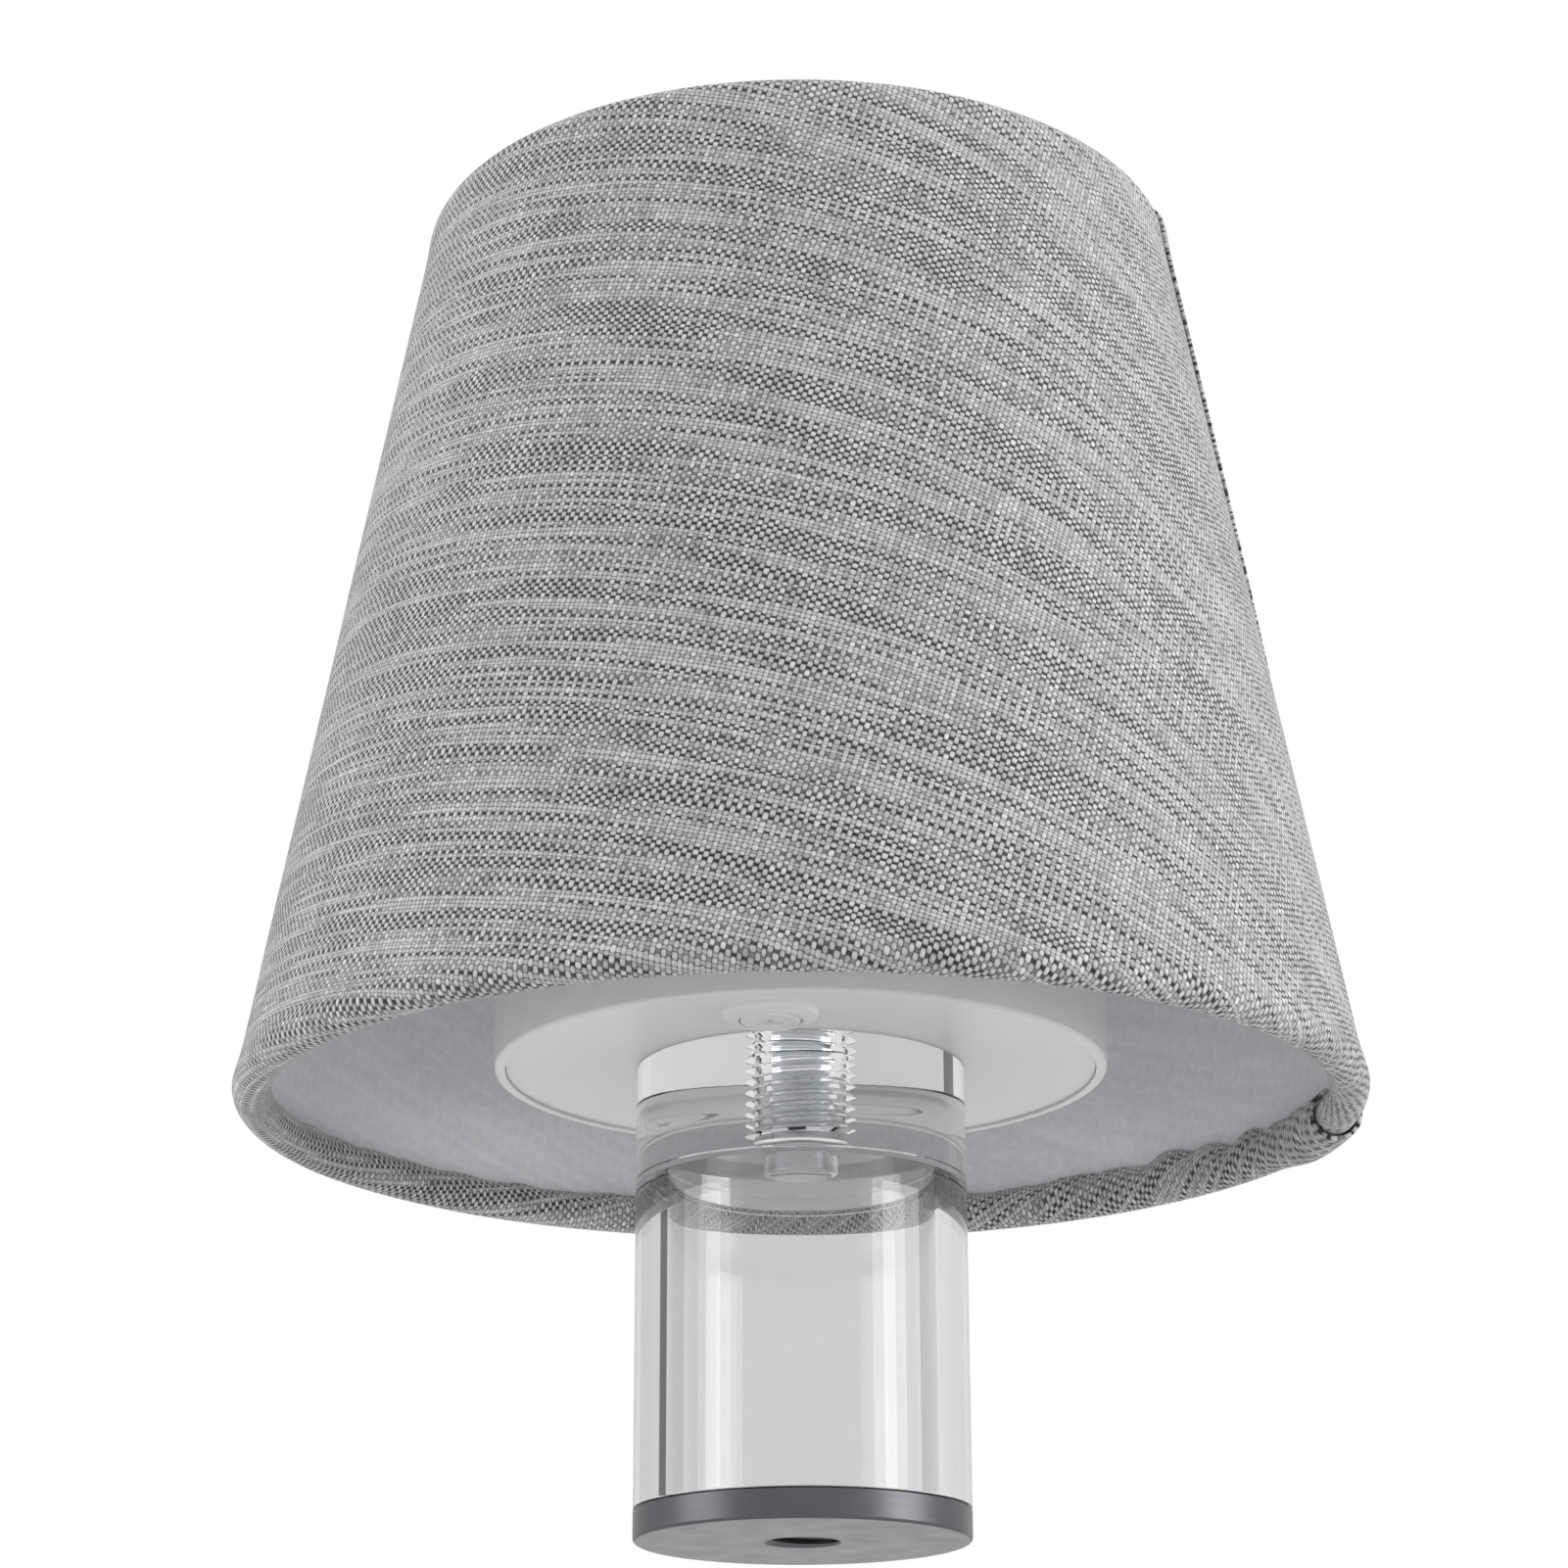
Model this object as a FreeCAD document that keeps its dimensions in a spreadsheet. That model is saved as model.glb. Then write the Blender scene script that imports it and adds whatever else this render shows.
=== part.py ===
"""Candle lamp with shade: a clear column, a white battery pan, a candle-shaped light and a tapered cloth shade.

Lengths are in millimetres and angles in degrees. Z is the column's axis and points up. The origin is the
centre of the end cap's flat underside. The camera side of the lamp is -Y.
"""

import FreeCAD
import Part

import math
import os

import Sketcher

# Driving dimensions, each written once. They become the cells of the sheet named sizes.
SIZES = {
    # Clear column
    "column_radius": 22.5,
    "tube_wall": 4.3,
    "tube_length": 44.3,
    "plug_height": 15.8,
    "hole_depth": 11.8,
    "mouth_chamfer": 0.8,
    # End cap with the tapped hole that the lamp is carried by
    "cap_thickness": 4.0,
    "cap_edge": 0.5,
    "cap_boss_radius": 9.0,
    "cap_boss_height": 1.8,
    "tap_radius": 4.25,
    "tap_chamfer": 0.9,
    # Stud, nut and lock washer
    "thread_radius": 5.0,
    "thread_play": 0.05,
    "stud_grip": 10.9,
    "stud_tip": 0.8,
    "stud_spare": 1.5,
    "hole_play": 0.3,
    "lock_washer_radius": 8.6,
    "lock_washer_thickness": 1.2,
    "nut_flats": 17.0,
    "nut_height": 5.0,
    # Pan: a spun cup, open downwards, closed by a plate that is set back behind its lip. What it holds sets its size.
    "pan_room": 0.2725,
    "cell_headroom": 1.3,
    "pan_wall": 1.5,
    "pan_roof": 1.5,
    "pan_round": 2.0,
    "lip_round": 0.5,
    "plate_recess": 0.4,
    "plate_thickness": 1.5,
    "plate_play": 0.1,
    "spacer_wall": 2.6,
    # Screws of the plate
    "screw_gap": 2.2,
    "screw_turn": 7.4,
    "screw_radius": 1.5,
    "screw_play": 0.05,
    "screw_length": 9.0,
    "screw_head_radius": 3.95,
    "screw_head_height": 0.8,
    "screw_head_round": 0.35,
    "disc_washer_radius": 6.3,
    "disc_washer_thickness": 0.7,
    "disc_washer_round": 0.3,
    "boss_radius": 3.4,
    # Two round cells in their cradles
    "cell_radius": 7.0,
    "cell_length": 48.5,
    "cell_cap_radius": 2.7,
    "cell_cap_length": 1.3,
    "cell_offset": 20.0,
    "cell_play": 0.1,
    "cradle_floor": 1.2,
    "cradle_wall": 1.4,
    "cradle_height": 6.5,
    # Control board on two standoffs, with the socket and the switch
    "board_width": 28.0,
    "board_depth": 10.5,
    "board_gap": 0.8,
    "board_thickness": 1.6,
    "board_notch_play": 0.6,
    "standoff_height": 4.1,
    "standoff_radius": 2.4,
    "standoff_offset": 11.0,
    "standoff_inset": 2.7,
    "board_screw_radius": 1.0,
    "board_screw_grip": 3.0,
    "board_screw_head_radius": 1.8,
    "board_screw_head_height": 1.0,
    "socket_offset": 7.4,
    "socket_width": 8.9,
    "socket_height": 3.2,
    "socket_depth": 7.4,
    "socket_wall": 0.35,
    "socket_floor": 1.2,
    "socket_setback": 0.2,
    "socket_play": 0.25,
    "tongue_width": 6.6,
    "tongue_thickness": 0.7,
    "tongue_length": 4.6,
    # Push button and its switch
    "button_offset": 11.0,
    "button_radius": 2.6,
    "button_play": 0.15,
    "button_stand": 0.2,
    "button_flange_radius": 3.3,
    "button_flange_thickness": 1.0,
    "button_edge": 0.5,
    "switch_width": 6.0,
    "switch_depth": 3.4,
    "switch_height": 7.6,
    "switch_gap": 0.4,
    "plunger_radius": 1.2,
    "plunger_play": 0.08,
    "plunger_reach": 1.1,
    "plunger_hidden": 1.6,
    "plunger_well": 3.0,
    # Light: a flared collar, a board with chips, an opal tube and its cap, drawn together by a rod
    "collar_radius": 17.0,
    "collar_foot": 2.0,
    "collar_flare": 1.5,
    "collar_neck_radius": 14.2,
    "collar_height": 14.0,
    "collar_cavity_radius": 11.0,
    "collar_cavity_height": 9.0,
    "collar_web": 1.5,
    "collar_round": 1.0,
    "light_radius": 12.5,
    "light_wall": 1.8,
    "light_length": 78.0,
    "light_play": 0.15,
    "led_board_thickness": 1.6,
    "led_count": 8,
    "led_circle_radius": 7.2,
    "led_size": 2.8,
    "led_height": 0.8,
    "rod_radius": 2.0,
    "rod_play": 0.05,
    "rod_grip": 5.0,
    "rod_gap": 0.5,
    "spigot_length": 6.0,
    "flange_overhang": 0.8,
    "flange_thickness": 2.5,
    "flange_round": 0.8,
    "shoulder_radius": 9.2,
    "shoulder_height": 1.3,
    "pin_radius": 4.0,
    "pin_above_hub": 2.2,
    "pin_round": 1.5,
    "seat_washer_radius": 9.0,
    "seat_washer_thickness": 1.0,
    "seat_washer_play": 0.1,
    # Wire frame of the shade
    "hub_play": 0.1,
    "hub_radius": 13.0,
    "hub_thickness": 1.5,
    "hub_neck_radius": 5.7,
    "hub_neck_height": 2.6,
    "arm_count": 3,
    "arm_turn": 30.0,
    "arm_wire_radius": 1.1,
    "arm_start": 7.4,
    "arm_straight": 0.33,
    "arm_above_ring": 0.6,
    "top_ring_wire_radius": 1.2,
    "bottom_ring_wire_radius": 1.4,
    # Shade cone, given by its outer face
    "shade_drop": 6.3,
    "shade_above_hub": 9.9,
    "shade_bottom_radius": 77.5,
    "shade_top_radius": 53.5,
    "cloth_thickness": 0.8,
    "liner_thickness": 0.5,
    "glue_gap": 0.1,
    "bottom_roll_radius": 2.4,
    "top_roll_radius": 2.75,
    "bottom_hem_height": 5.2,
    "top_hem_height": 6.5,
    "hem_notch_play": 0.35,
    "seam_width": 11.0,
    "seam_turn": -2.0,
    "seam_rise": 0.5,
    "seam_end_gap": 7.0,
    # Length by which cutting tools run past what they cut
    "overrun": 1.0,
}

NEAR = 1e-4

doc = FreeCAD.newDocument("candle_lamp")
sheet = doc.addObject("Spreadsheet::Sheet", "sizes")
for row, (alias, size) in enumerate(SIZES.items(), 1):
    sheet.set(f"A{row}", alias)
    sheet.set(f"B{row}", str(size))
    sheet.setAlias(f"B{row}", alias)
doc.recompute()

# Levels and radii that several pieces share, as expressions of the sheet
CAP_TOP = "sizes.cap_thickness"
TUBE_BORE = "(sizes.column_radius - sizes.tube_wall)"
TUBE_TOP = f"({CAP_TOP} + sizes.tube_length)"
PLUG_TOP = f"({TUBE_TOP} + sizes.plug_height)"
PLATE_TOP = f"({PLUG_TOP} + sizes.plate_thickness)"
LIP = f"({PLUG_TOP} - sizes.plate_recess)"
CELL_LEVEL = f"({PLATE_TOP} + sizes.cradle_floor + sizes.cell_play + sizes.cell_radius)"
ROOF = f"({CELL_LEVEL} + sizes.cell_radius + sizes.cell_headroom)"
PAN_TOP = f"({ROOF} + sizes.pan_roof)"
STUD_HOLE = "(sizes.thread_radius + sizes.thread_play)"
FREE_HOLE = "(sizes.thread_radius + sizes.hole_play)"
LOCK_TOP = f"({PAN_TOP} + sizes.lock_washer_thickness)"
NUT_TOP = f"({LOCK_TOP} + sizes.nut_height)"
STUD_TOP = f"({NUT_TOP} + sizes.stud_spare)"
DISC_WASHER_LOW = f"({PLUG_TOP} - sizes.disc_washer_thickness)"
SCREW_END = f"({DISC_WASHER_LOW} + sizes.screw_length)"
SCREW_BORE = "(sizes.screw_radius + sizes.screw_play)"
BOARD_LOW = f"({PLATE_TOP} + sizes.standoff_height)"
BOARD_TOP = f"({BOARD_LOW} + sizes.board_thickness)"
BUTTON_LEVEL = f"({BOARD_TOP} + sizes.switch_height / 2)"
CELL_HALF_ROOM = "((sizes.cell_length + sizes.cell_cap_length) / 2 + sizes.cell_play)"
CRADLE_END = f"({CELL_HALF_ROOM} + sizes.cradle_wall)"
CRADLE_HALF = "(sizes.cell_radius + sizes.cell_play + sizes.cradle_wall)"
BOARD_BACK = f"({CRADLE_END} + sizes.board_gap)"
BOARD_FRONT = f"({BOARD_BACK} + sizes.board_depth)"
STANDOFF_Y = f"({BOARD_BACK} + sizes.standoff_inset)"
SWITCH_BACK = f"({STANDOFF_Y} + sizes.board_screw_head_radius + sizes.switch_gap)"
SWITCH_FRONT = f"({SWITCH_BACK} + sizes.switch_depth)"
FLANGE_BACK = f"({SWITCH_FRONT} + sizes.plunger_reach)"
FLANGE_FRONT = f"({FLANGE_BACK} + sizes.button_flange_thickness)"
SCREW_CIRCLE = "(sizes.column_radius + sizes.screw_gap + sizes.disc_washer_radius)"
HELD_BY_PAN = "; ".join(
    [
        f"sqrt({FLANGE_FRONT}^2 + (sizes.button_offset + sizes.button_flange_radius)^2)",
        f"sqrt({BOARD_FRONT}^2 + (sizes.board_width / 2)^2)",
        f"sqrt({CRADLE_END}^2 + (sizes.cell_offset + {CRADLE_HALF})^2)",
        f"{SCREW_CIRCLE} + sizes.disc_washer_radius",
    ]
)
PAN_BORE = f"(max({HELD_BY_PAN}) + sizes.pan_room)"
PAN_RADIUS = f"({PAN_BORE} + sizes.pan_wall)"
SOCKET_FRONT = f"({PAN_BORE} - sizes.socket_setback)"
BUTTON_FACE = f"({PAN_RADIUS} + sizes.button_stand)"
WEB_LOW = f"({PAN_TOP} + sizes.collar_cavity_height)"
WEB_TOP = f"({WEB_LOW} + sizes.collar_web)"
COLLAR_TOP = f"({PAN_TOP} + sizes.collar_height)"
LED_BOARD_TOP = f"({WEB_TOP} + sizes.led_board_thickness)"
LIGHT_BORE = "(sizes.light_radius - sizes.light_wall)"
LIGHT_TOP = f"({WEB_TOP} + sizes.light_length)"
SPIGOT_LOW = f"({LIGHT_TOP} - sizes.spigot_length)"
ROD_HOLE = "(sizes.rod_radius + sizes.rod_play)"
SEAT = f"({LIGHT_TOP} + sizes.flange_thickness + sizes.shoulder_height)"
HUB_LOW = f"({SEAT} + sizes.seat_washer_thickness)"
HUB_TOP = f"({HUB_LOW} + sizes.hub_thickness)"
NECK_TOP = f"({HUB_TOP} + sizes.hub_neck_height)"
PIN_TOP = f"({NECK_TOP} + sizes.pin_above_hub)"
SHADE_LOW = f"({LIP} - sizes.shade_drop)"
SHADE_TOP = f"({HUB_TOP} + sizes.shade_above_hub)"

nodes = []


def number(text):
    """The value of an expression of the sheet."""
    return float(sheet.evalExpression(text))


def kept(piece):
    """Lists a finished sub-part, whose label names its file."""
    nodes.append(piece)
    return piece


def pinned(sketch, kind, axis_line, corner, text):
    """Holds one coordinate of a sketch corner to an expression, or to the axis where it is nought."""
    if text == "0":
        sketch.addConstraint(Sketcher.Constraint("PointOnObject", corner, 1, axis_line))
        return
    place = sketch.addConstraint(Sketcher.Constraint(kind, -1, 1, corner, 1, number(text)))
    sketch.setExpression(f"Constraints[{place}]", text)


def turned(label, corners, place=None):
    """A turned body: the closed outline of (radius, height) expressions, revolved about its own Z axis."""
    body = doc.addObject("PartDesign::Body", label)
    plane = [item for item in body.Origin.OriginFeatures if item.Role == "XZ_Plane"][0]
    sketch = body.newObject("Sketcher::SketchObject", label + "_outline")
    sketch.AttachmentSupport = [(plane, "")]
    sketch.MapMode = "FlatFace"
    points = [FreeCAD.Vector(number(radius), number(height), 0) for radius, height in corners]
    for start, end in zip(points, points[1:] + points[:1]):
        sketch.addGeometry(Part.LineSegment(start, end))
    for corner, (radius, height) in enumerate(corners):
        after = (corner + 1) % len(corners)
        sketch.addConstraint(Sketcher.Constraint("Coincident", corner, 2, after, 1))
        pinned(sketch, "DistanceX", -2, corner, radius)
        pinned(sketch, "DistanceY", -1, corner, height)
    turn = body.newObject("PartDesign::Revolution", label + "_turn")
    turn.Profile = sketch
    turn.ReferenceAxis = (sketch, ["V_Axis"])
    turn.Angle = 360.0
    if place:
        body.setExpression("Placement.Base.x", place[0])
        body.setExpression("Placement.Base.y", place[1])
    doc.recompute()
    return body


def rounded(body, rims, size):
    """Rounds the circular edges of a turned body at the given (radius, height) places."""
    base = body.Tip
    wanted = [(number(radius), number(height)) for radius, height in rims]
    names = []
    for count, edge in enumerate(base.Shape.Edges, 1):
        curve = edge.Curve
        if not isinstance(curve, Part.Circle):
            continue
        if any(math.hypot(curve.Radius - r, curve.Center.z - z) < NEAR for r, z in wanted):
            names.append(f"Edge{count}")
    fillet = body.newObject("PartDesign::Fillet", body.Name + "_round")
    fillet.Base = (base, names)
    fillet.setExpression("Radius", size)
    body.Tip = fillet
    doc.recompute()
    return body


def placed(piece, corner):
    """Binds the place of a primitive to three expressions."""
    for axis, text in zip("xyz", corner):
        piece.setExpression("Placement.Base." + axis, text)
    return piece


def block(label, corner, lengths):
    """A box from its low corner and its lengths along X, Y and Z."""
    piece = doc.addObject("Part::Box", label)
    for side, text in zip(("Length", "Width", "Height"), lengths):
        piece.setExpression(side, text)
    return placed(piece, corner)


def rod(label, corner, radius, length, along_y=False):
    """A cylinder from the centre of its low end, along Z or along Y."""
    piece = doc.addObject("Part::Cylinder", label)
    if along_y:
        piece.Placement = FreeCAD.Placement(FreeCAD.Vector(), FreeCAD.Rotation(FreeCAD.Vector(1, 0, 0), -90))
    piece.setExpression("Radius", radius)
    piece.setExpression("Height", length)
    return placed(piece, corner)


def joined(label, pieces):
    """One solid made of pieces that meet."""
    whole = doc.addObject("Part::MultiFuse", label)
    whole.Shapes = pieces
    return whole


def grouped(label, pieces):
    """Separate solids that are one sub-part, such as identical screws."""
    whole = doc.addObject("Part::Compound", label)
    whole.Links = pieces
    return whole


def cut(label, base, tools):
    """The base less every tool."""
    piece = doc.addObject("Part::Cut", label)
    piece.Base = base
    piece.Tool = tools[0] if len(tools) == 1 else joined(label + "_tools", tools)
    return piece


def stadium(label, middle_x, low_y, low_z, width, height, depth):
    """A prism along Y whose section has half-round ends, as a charging socket's shell has."""
    reach = f"(({width} - {height}) / 2)"
    centre_z = f"({low_z} + {height} / 2)"
    pieces = [
        block(
            label + "_middle",
            (f"{middle_x} - {reach}", low_y, low_z),
            (f"2 * {reach}", depth, height),
        )
    ]
    for end, sign in (("left", "-"), ("right", "+")):
        pieces.append(
            rod(
                f"{label}_{end}",
                (f"{middle_x} {sign} {reach}", low_y, centre_z),
                f"{height} / 2",
                depth,
                along_y=True,
            )
        )
    return joined(label, pieces)


def ring(label, inner, outer, low, high):
    """A plain turned ring."""
    return turned(label, [(inner, low), (outer, low), (outer, high), (inner, high)])


def screw_places():
    """Centres of the two plate screws, opposite each other."""
    angle = "(90 + sizes.screw_turn)"
    across = f"{SCREW_CIRCLE} * cos({angle})"
    ahead = f"{SCREW_CIRCLE} * sin({angle})"
    return [(across, f"-{ahead}"), (f"-({across})", ahead)]


def column():
    """End cap, tube, tapped plug and the stud with its nut."""
    cap = turned(
        "end_cap",
        [
            ("sizes.tap_radius + sizes.tap_chamfer", "0"),
            ("sizes.column_radius - sizes.cap_edge", "0"),
            ("sizes.column_radius", "sizes.cap_edge"),
            ("sizes.column_radius", CAP_TOP),
            ("sizes.cap_boss_radius", CAP_TOP),
            ("sizes.cap_boss_radius", f"{CAP_TOP} + sizes.cap_boss_height"),
            ("sizes.tap_radius", f"{CAP_TOP} + sizes.cap_boss_height"),
            ("sizes.tap_radius", "sizes.tap_chamfer"),
        ],
    )
    kept(cap)
    kept(ring("column_tube", TUBE_BORE, "sizes.column_radius", CAP_TOP, TUBE_TOP))
    mouth = f"{STUD_HOLE} + sizes.mouth_chamfer"
    kept(
        turned(
            "column_plug",
            [
                ("0", TUBE_TOP),
                ("sizes.column_radius", TUBE_TOP),
                ("sizes.column_radius", PLUG_TOP),
                (mouth, PLUG_TOP),
                (STUD_HOLE, f"{PLUG_TOP} - sizes.mouth_chamfer"),
                (STUD_HOLE, f"{PLUG_TOP} - sizes.hole_depth"),
                ("0", f"{PLUG_TOP} - sizes.hole_depth"),
            ],
        )
    )
    low = f"({PLUG_TOP} - sizes.stud_grip)"
    tip = "sizes.thread_radius - sizes.stud_tip"
    kept(
        turned(
            "mounting_stud",
            [
                ("0", low),
                (tip, low),
                ("sizes.thread_radius", f"{low} + sizes.stud_tip"),
                ("sizes.thread_radius", f"{STUD_TOP} - sizes.stud_tip"),
                (tip, STUD_TOP),
                (ROD_HOLE, STUD_TOP),
                (ROD_HOLE, f"{STUD_TOP} - sizes.rod_grip - sizes.rod_gap"),
                ("0", f"{STUD_TOP} - sizes.rod_grip - sizes.rod_gap"),
            ],
        )
    )
    kept(ring("lock_washer", FREE_HOLE, "sizes.lock_washer_radius", PAN_TOP, LOCK_TOP))
    blank = doc.addObject("Part::Prism", "stud_nut_blank")
    blank.Polygon = 6
    blank.setExpression("Circumradius", "sizes.nut_flats / sqrt(3)")
    blank.setExpression("Height", "sizes.nut_height")
    placed(blank, ("0", "0", LOCK_TOP))
    hole = rod("stud_nut_hole", ("0", "0", f"{LOCK_TOP} - sizes.overrun"), STUD_HOLE,
               "sizes.nut_height + 2 * sizes.overrun")
    kept(cut("stud_nut", blank, [hole]))


def pan():
    """The cup, its plate, the clamping spacer, and the plate's screws and washers."""
    cup = turned(
        "pan_cup",
        [
            (FREE_HOLE, ROOF),
            (PAN_BORE, ROOF),
            (PAN_BORE, LIP),
            (PAN_RADIUS, LIP),
            (PAN_RADIUS, PAN_TOP),
            (FREE_HOLE, PAN_TOP),
        ],
    )
    rounded(cup, [(PAN_RADIUS, PAN_TOP)], "sizes.pan_round")
    rounded(cup, [(PAN_RADIUS, LIP)], "sizes.lip_round")
    bosses = [cup]
    tools = []
    plate_tools = []
    washers = []
    screws = []
    for count, (across, ahead) in enumerate(screw_places(), 1):
        bosses.append(
            rod(f"boss_{count}", (across, ahead, PLATE_TOP), "sizes.boss_radius",
                f"{ROOF} - {PLATE_TOP} + sizes.pan_roof / 2")
        )
        tools.append(
            rod(f"boss_bore_{count}", (across, ahead, f"{PLATE_TOP} - sizes.overrun"), SCREW_BORE,
                f"{SCREW_END} - {PLATE_TOP} + 2 * sizes.overrun")
        )
        plate_tools.append(
            rod(f"plate_hole_{count}", (across, ahead, f"{PLUG_TOP} - sizes.overrun"), SCREW_BORE,
                "sizes.plate_thickness + 2 * sizes.overrun")
        )
        washer = turned(
            f"disc_washer_{count}",
            [
                (SCREW_BORE, DISC_WASHER_LOW),
                ("sizes.disc_washer_radius", DISC_WASHER_LOW),
                ("sizes.disc_washer_radius", PLUG_TOP),
                (SCREW_BORE, PLUG_TOP),
            ],
            (across, ahead),
        )
        rounded(washer, [("sizes.disc_washer_radius", DISC_WASHER_LOW)], "sizes.disc_washer_round")
        washers.append(washer)
        head_low = f"({DISC_WASHER_LOW} - sizes.screw_head_height)"
        screw = turned(
            f"plate_screw_{count}",
            [
                ("0", head_low),
                ("sizes.screw_head_radius", head_low),
                ("sizes.screw_head_radius", DISC_WASHER_LOW),
                ("sizes.screw_radius", DISC_WASHER_LOW),
                ("sizes.screw_radius", SCREW_END),
                ("0", SCREW_END),
            ],
            (across, ahead),
        )
        rounded(screw, [("sizes.screw_head_radius", head_low)], "sizes.screw_head_round")
        screws.append(screw)
    tools.append(
        stadium(
            "socket_slot",
            "-sizes.socket_offset",
            f"{BOARD_FRONT}",
            f"({BOARD_TOP} - sizes.socket_play)",
            "(sizes.socket_width + 2 * sizes.socket_play)",
            "(sizes.socket_height + 2 * sizes.socket_play)",
            f"{PAN_RADIUS} - {BOARD_FRONT} + sizes.overrun",
        )
    )
    tools.append(
        rod(
            "button_hole",
            ("sizes.button_offset", BOARD_FRONT, BUTTON_LEVEL),
            "sizes.button_radius + sizes.button_play",
            f"{PAN_RADIUS} - {BOARD_FRONT} + sizes.overrun",
            along_y=True,
        )
    )
    kept(cut("pan_shell", joined("pan_shell_blank", bosses), tools))
    disc = ring("pan_plate_disc", FREE_HOLE, f"{PAN_BORE} - sizes.plate_play", PLUG_TOP, PLATE_TOP)
    kept(cut("pan_plate", disc, plate_tools))
    kept(ring("pan_spacer", FREE_HOLE, f"{FREE_HOLE} + sizes.spacer_wall", PLATE_TOP, ROOF))
    kept(grouped("plate_washers", washers))
    kept(grouped("plate_screws", screws))


def cells():
    """Two round cells, each lying in a cradle that stands on the plate."""
    length = "(sizes.cell_length + sizes.cell_cap_length)"
    found = []
    cradles = []
    for name, sign in (("left", "-"), ("right", "")):
        middle = f"{sign}sizes.cell_offset"
        can = rod(f"cell_can_{name}", (middle, f"-{length} / 2", CELL_LEVEL), "sizes.cell_radius",
                  "sizes.cell_length", along_y=True)
        nub = rod(f"cell_cap_{name}", (middle, f"sizes.cell_length - {length} / 2", CELL_LEVEL),
                  "sizes.cell_cap_radius", "sizes.cell_cap_length", along_y=True)
        found.append(joined(f"cell_{name}", [can, nub]))
        tray = block(
            f"tray_{name}",
            (f"{middle} - {CRADLE_HALF}", f"-{CRADLE_END}", PLATE_TOP),
            (f"2 * {CRADLE_HALF}", f"2 * {CRADLE_END}", "sizes.cradle_floor + sizes.cradle_height"),
        )
        room = rod(f"tray_room_{name}", (middle, f"-{CELL_HALF_ROOM}", CELL_LEVEL),
                   "sizes.cell_radius + sizes.cell_play", f"2 * {CELL_HALF_ROOM}", along_y=True)
        cradles.append(cut(f"cradle_{name}", tray, [room]))
    kept(grouped("battery_cells", found))
    kept(grouped("cell_cradles", cradles))


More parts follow.
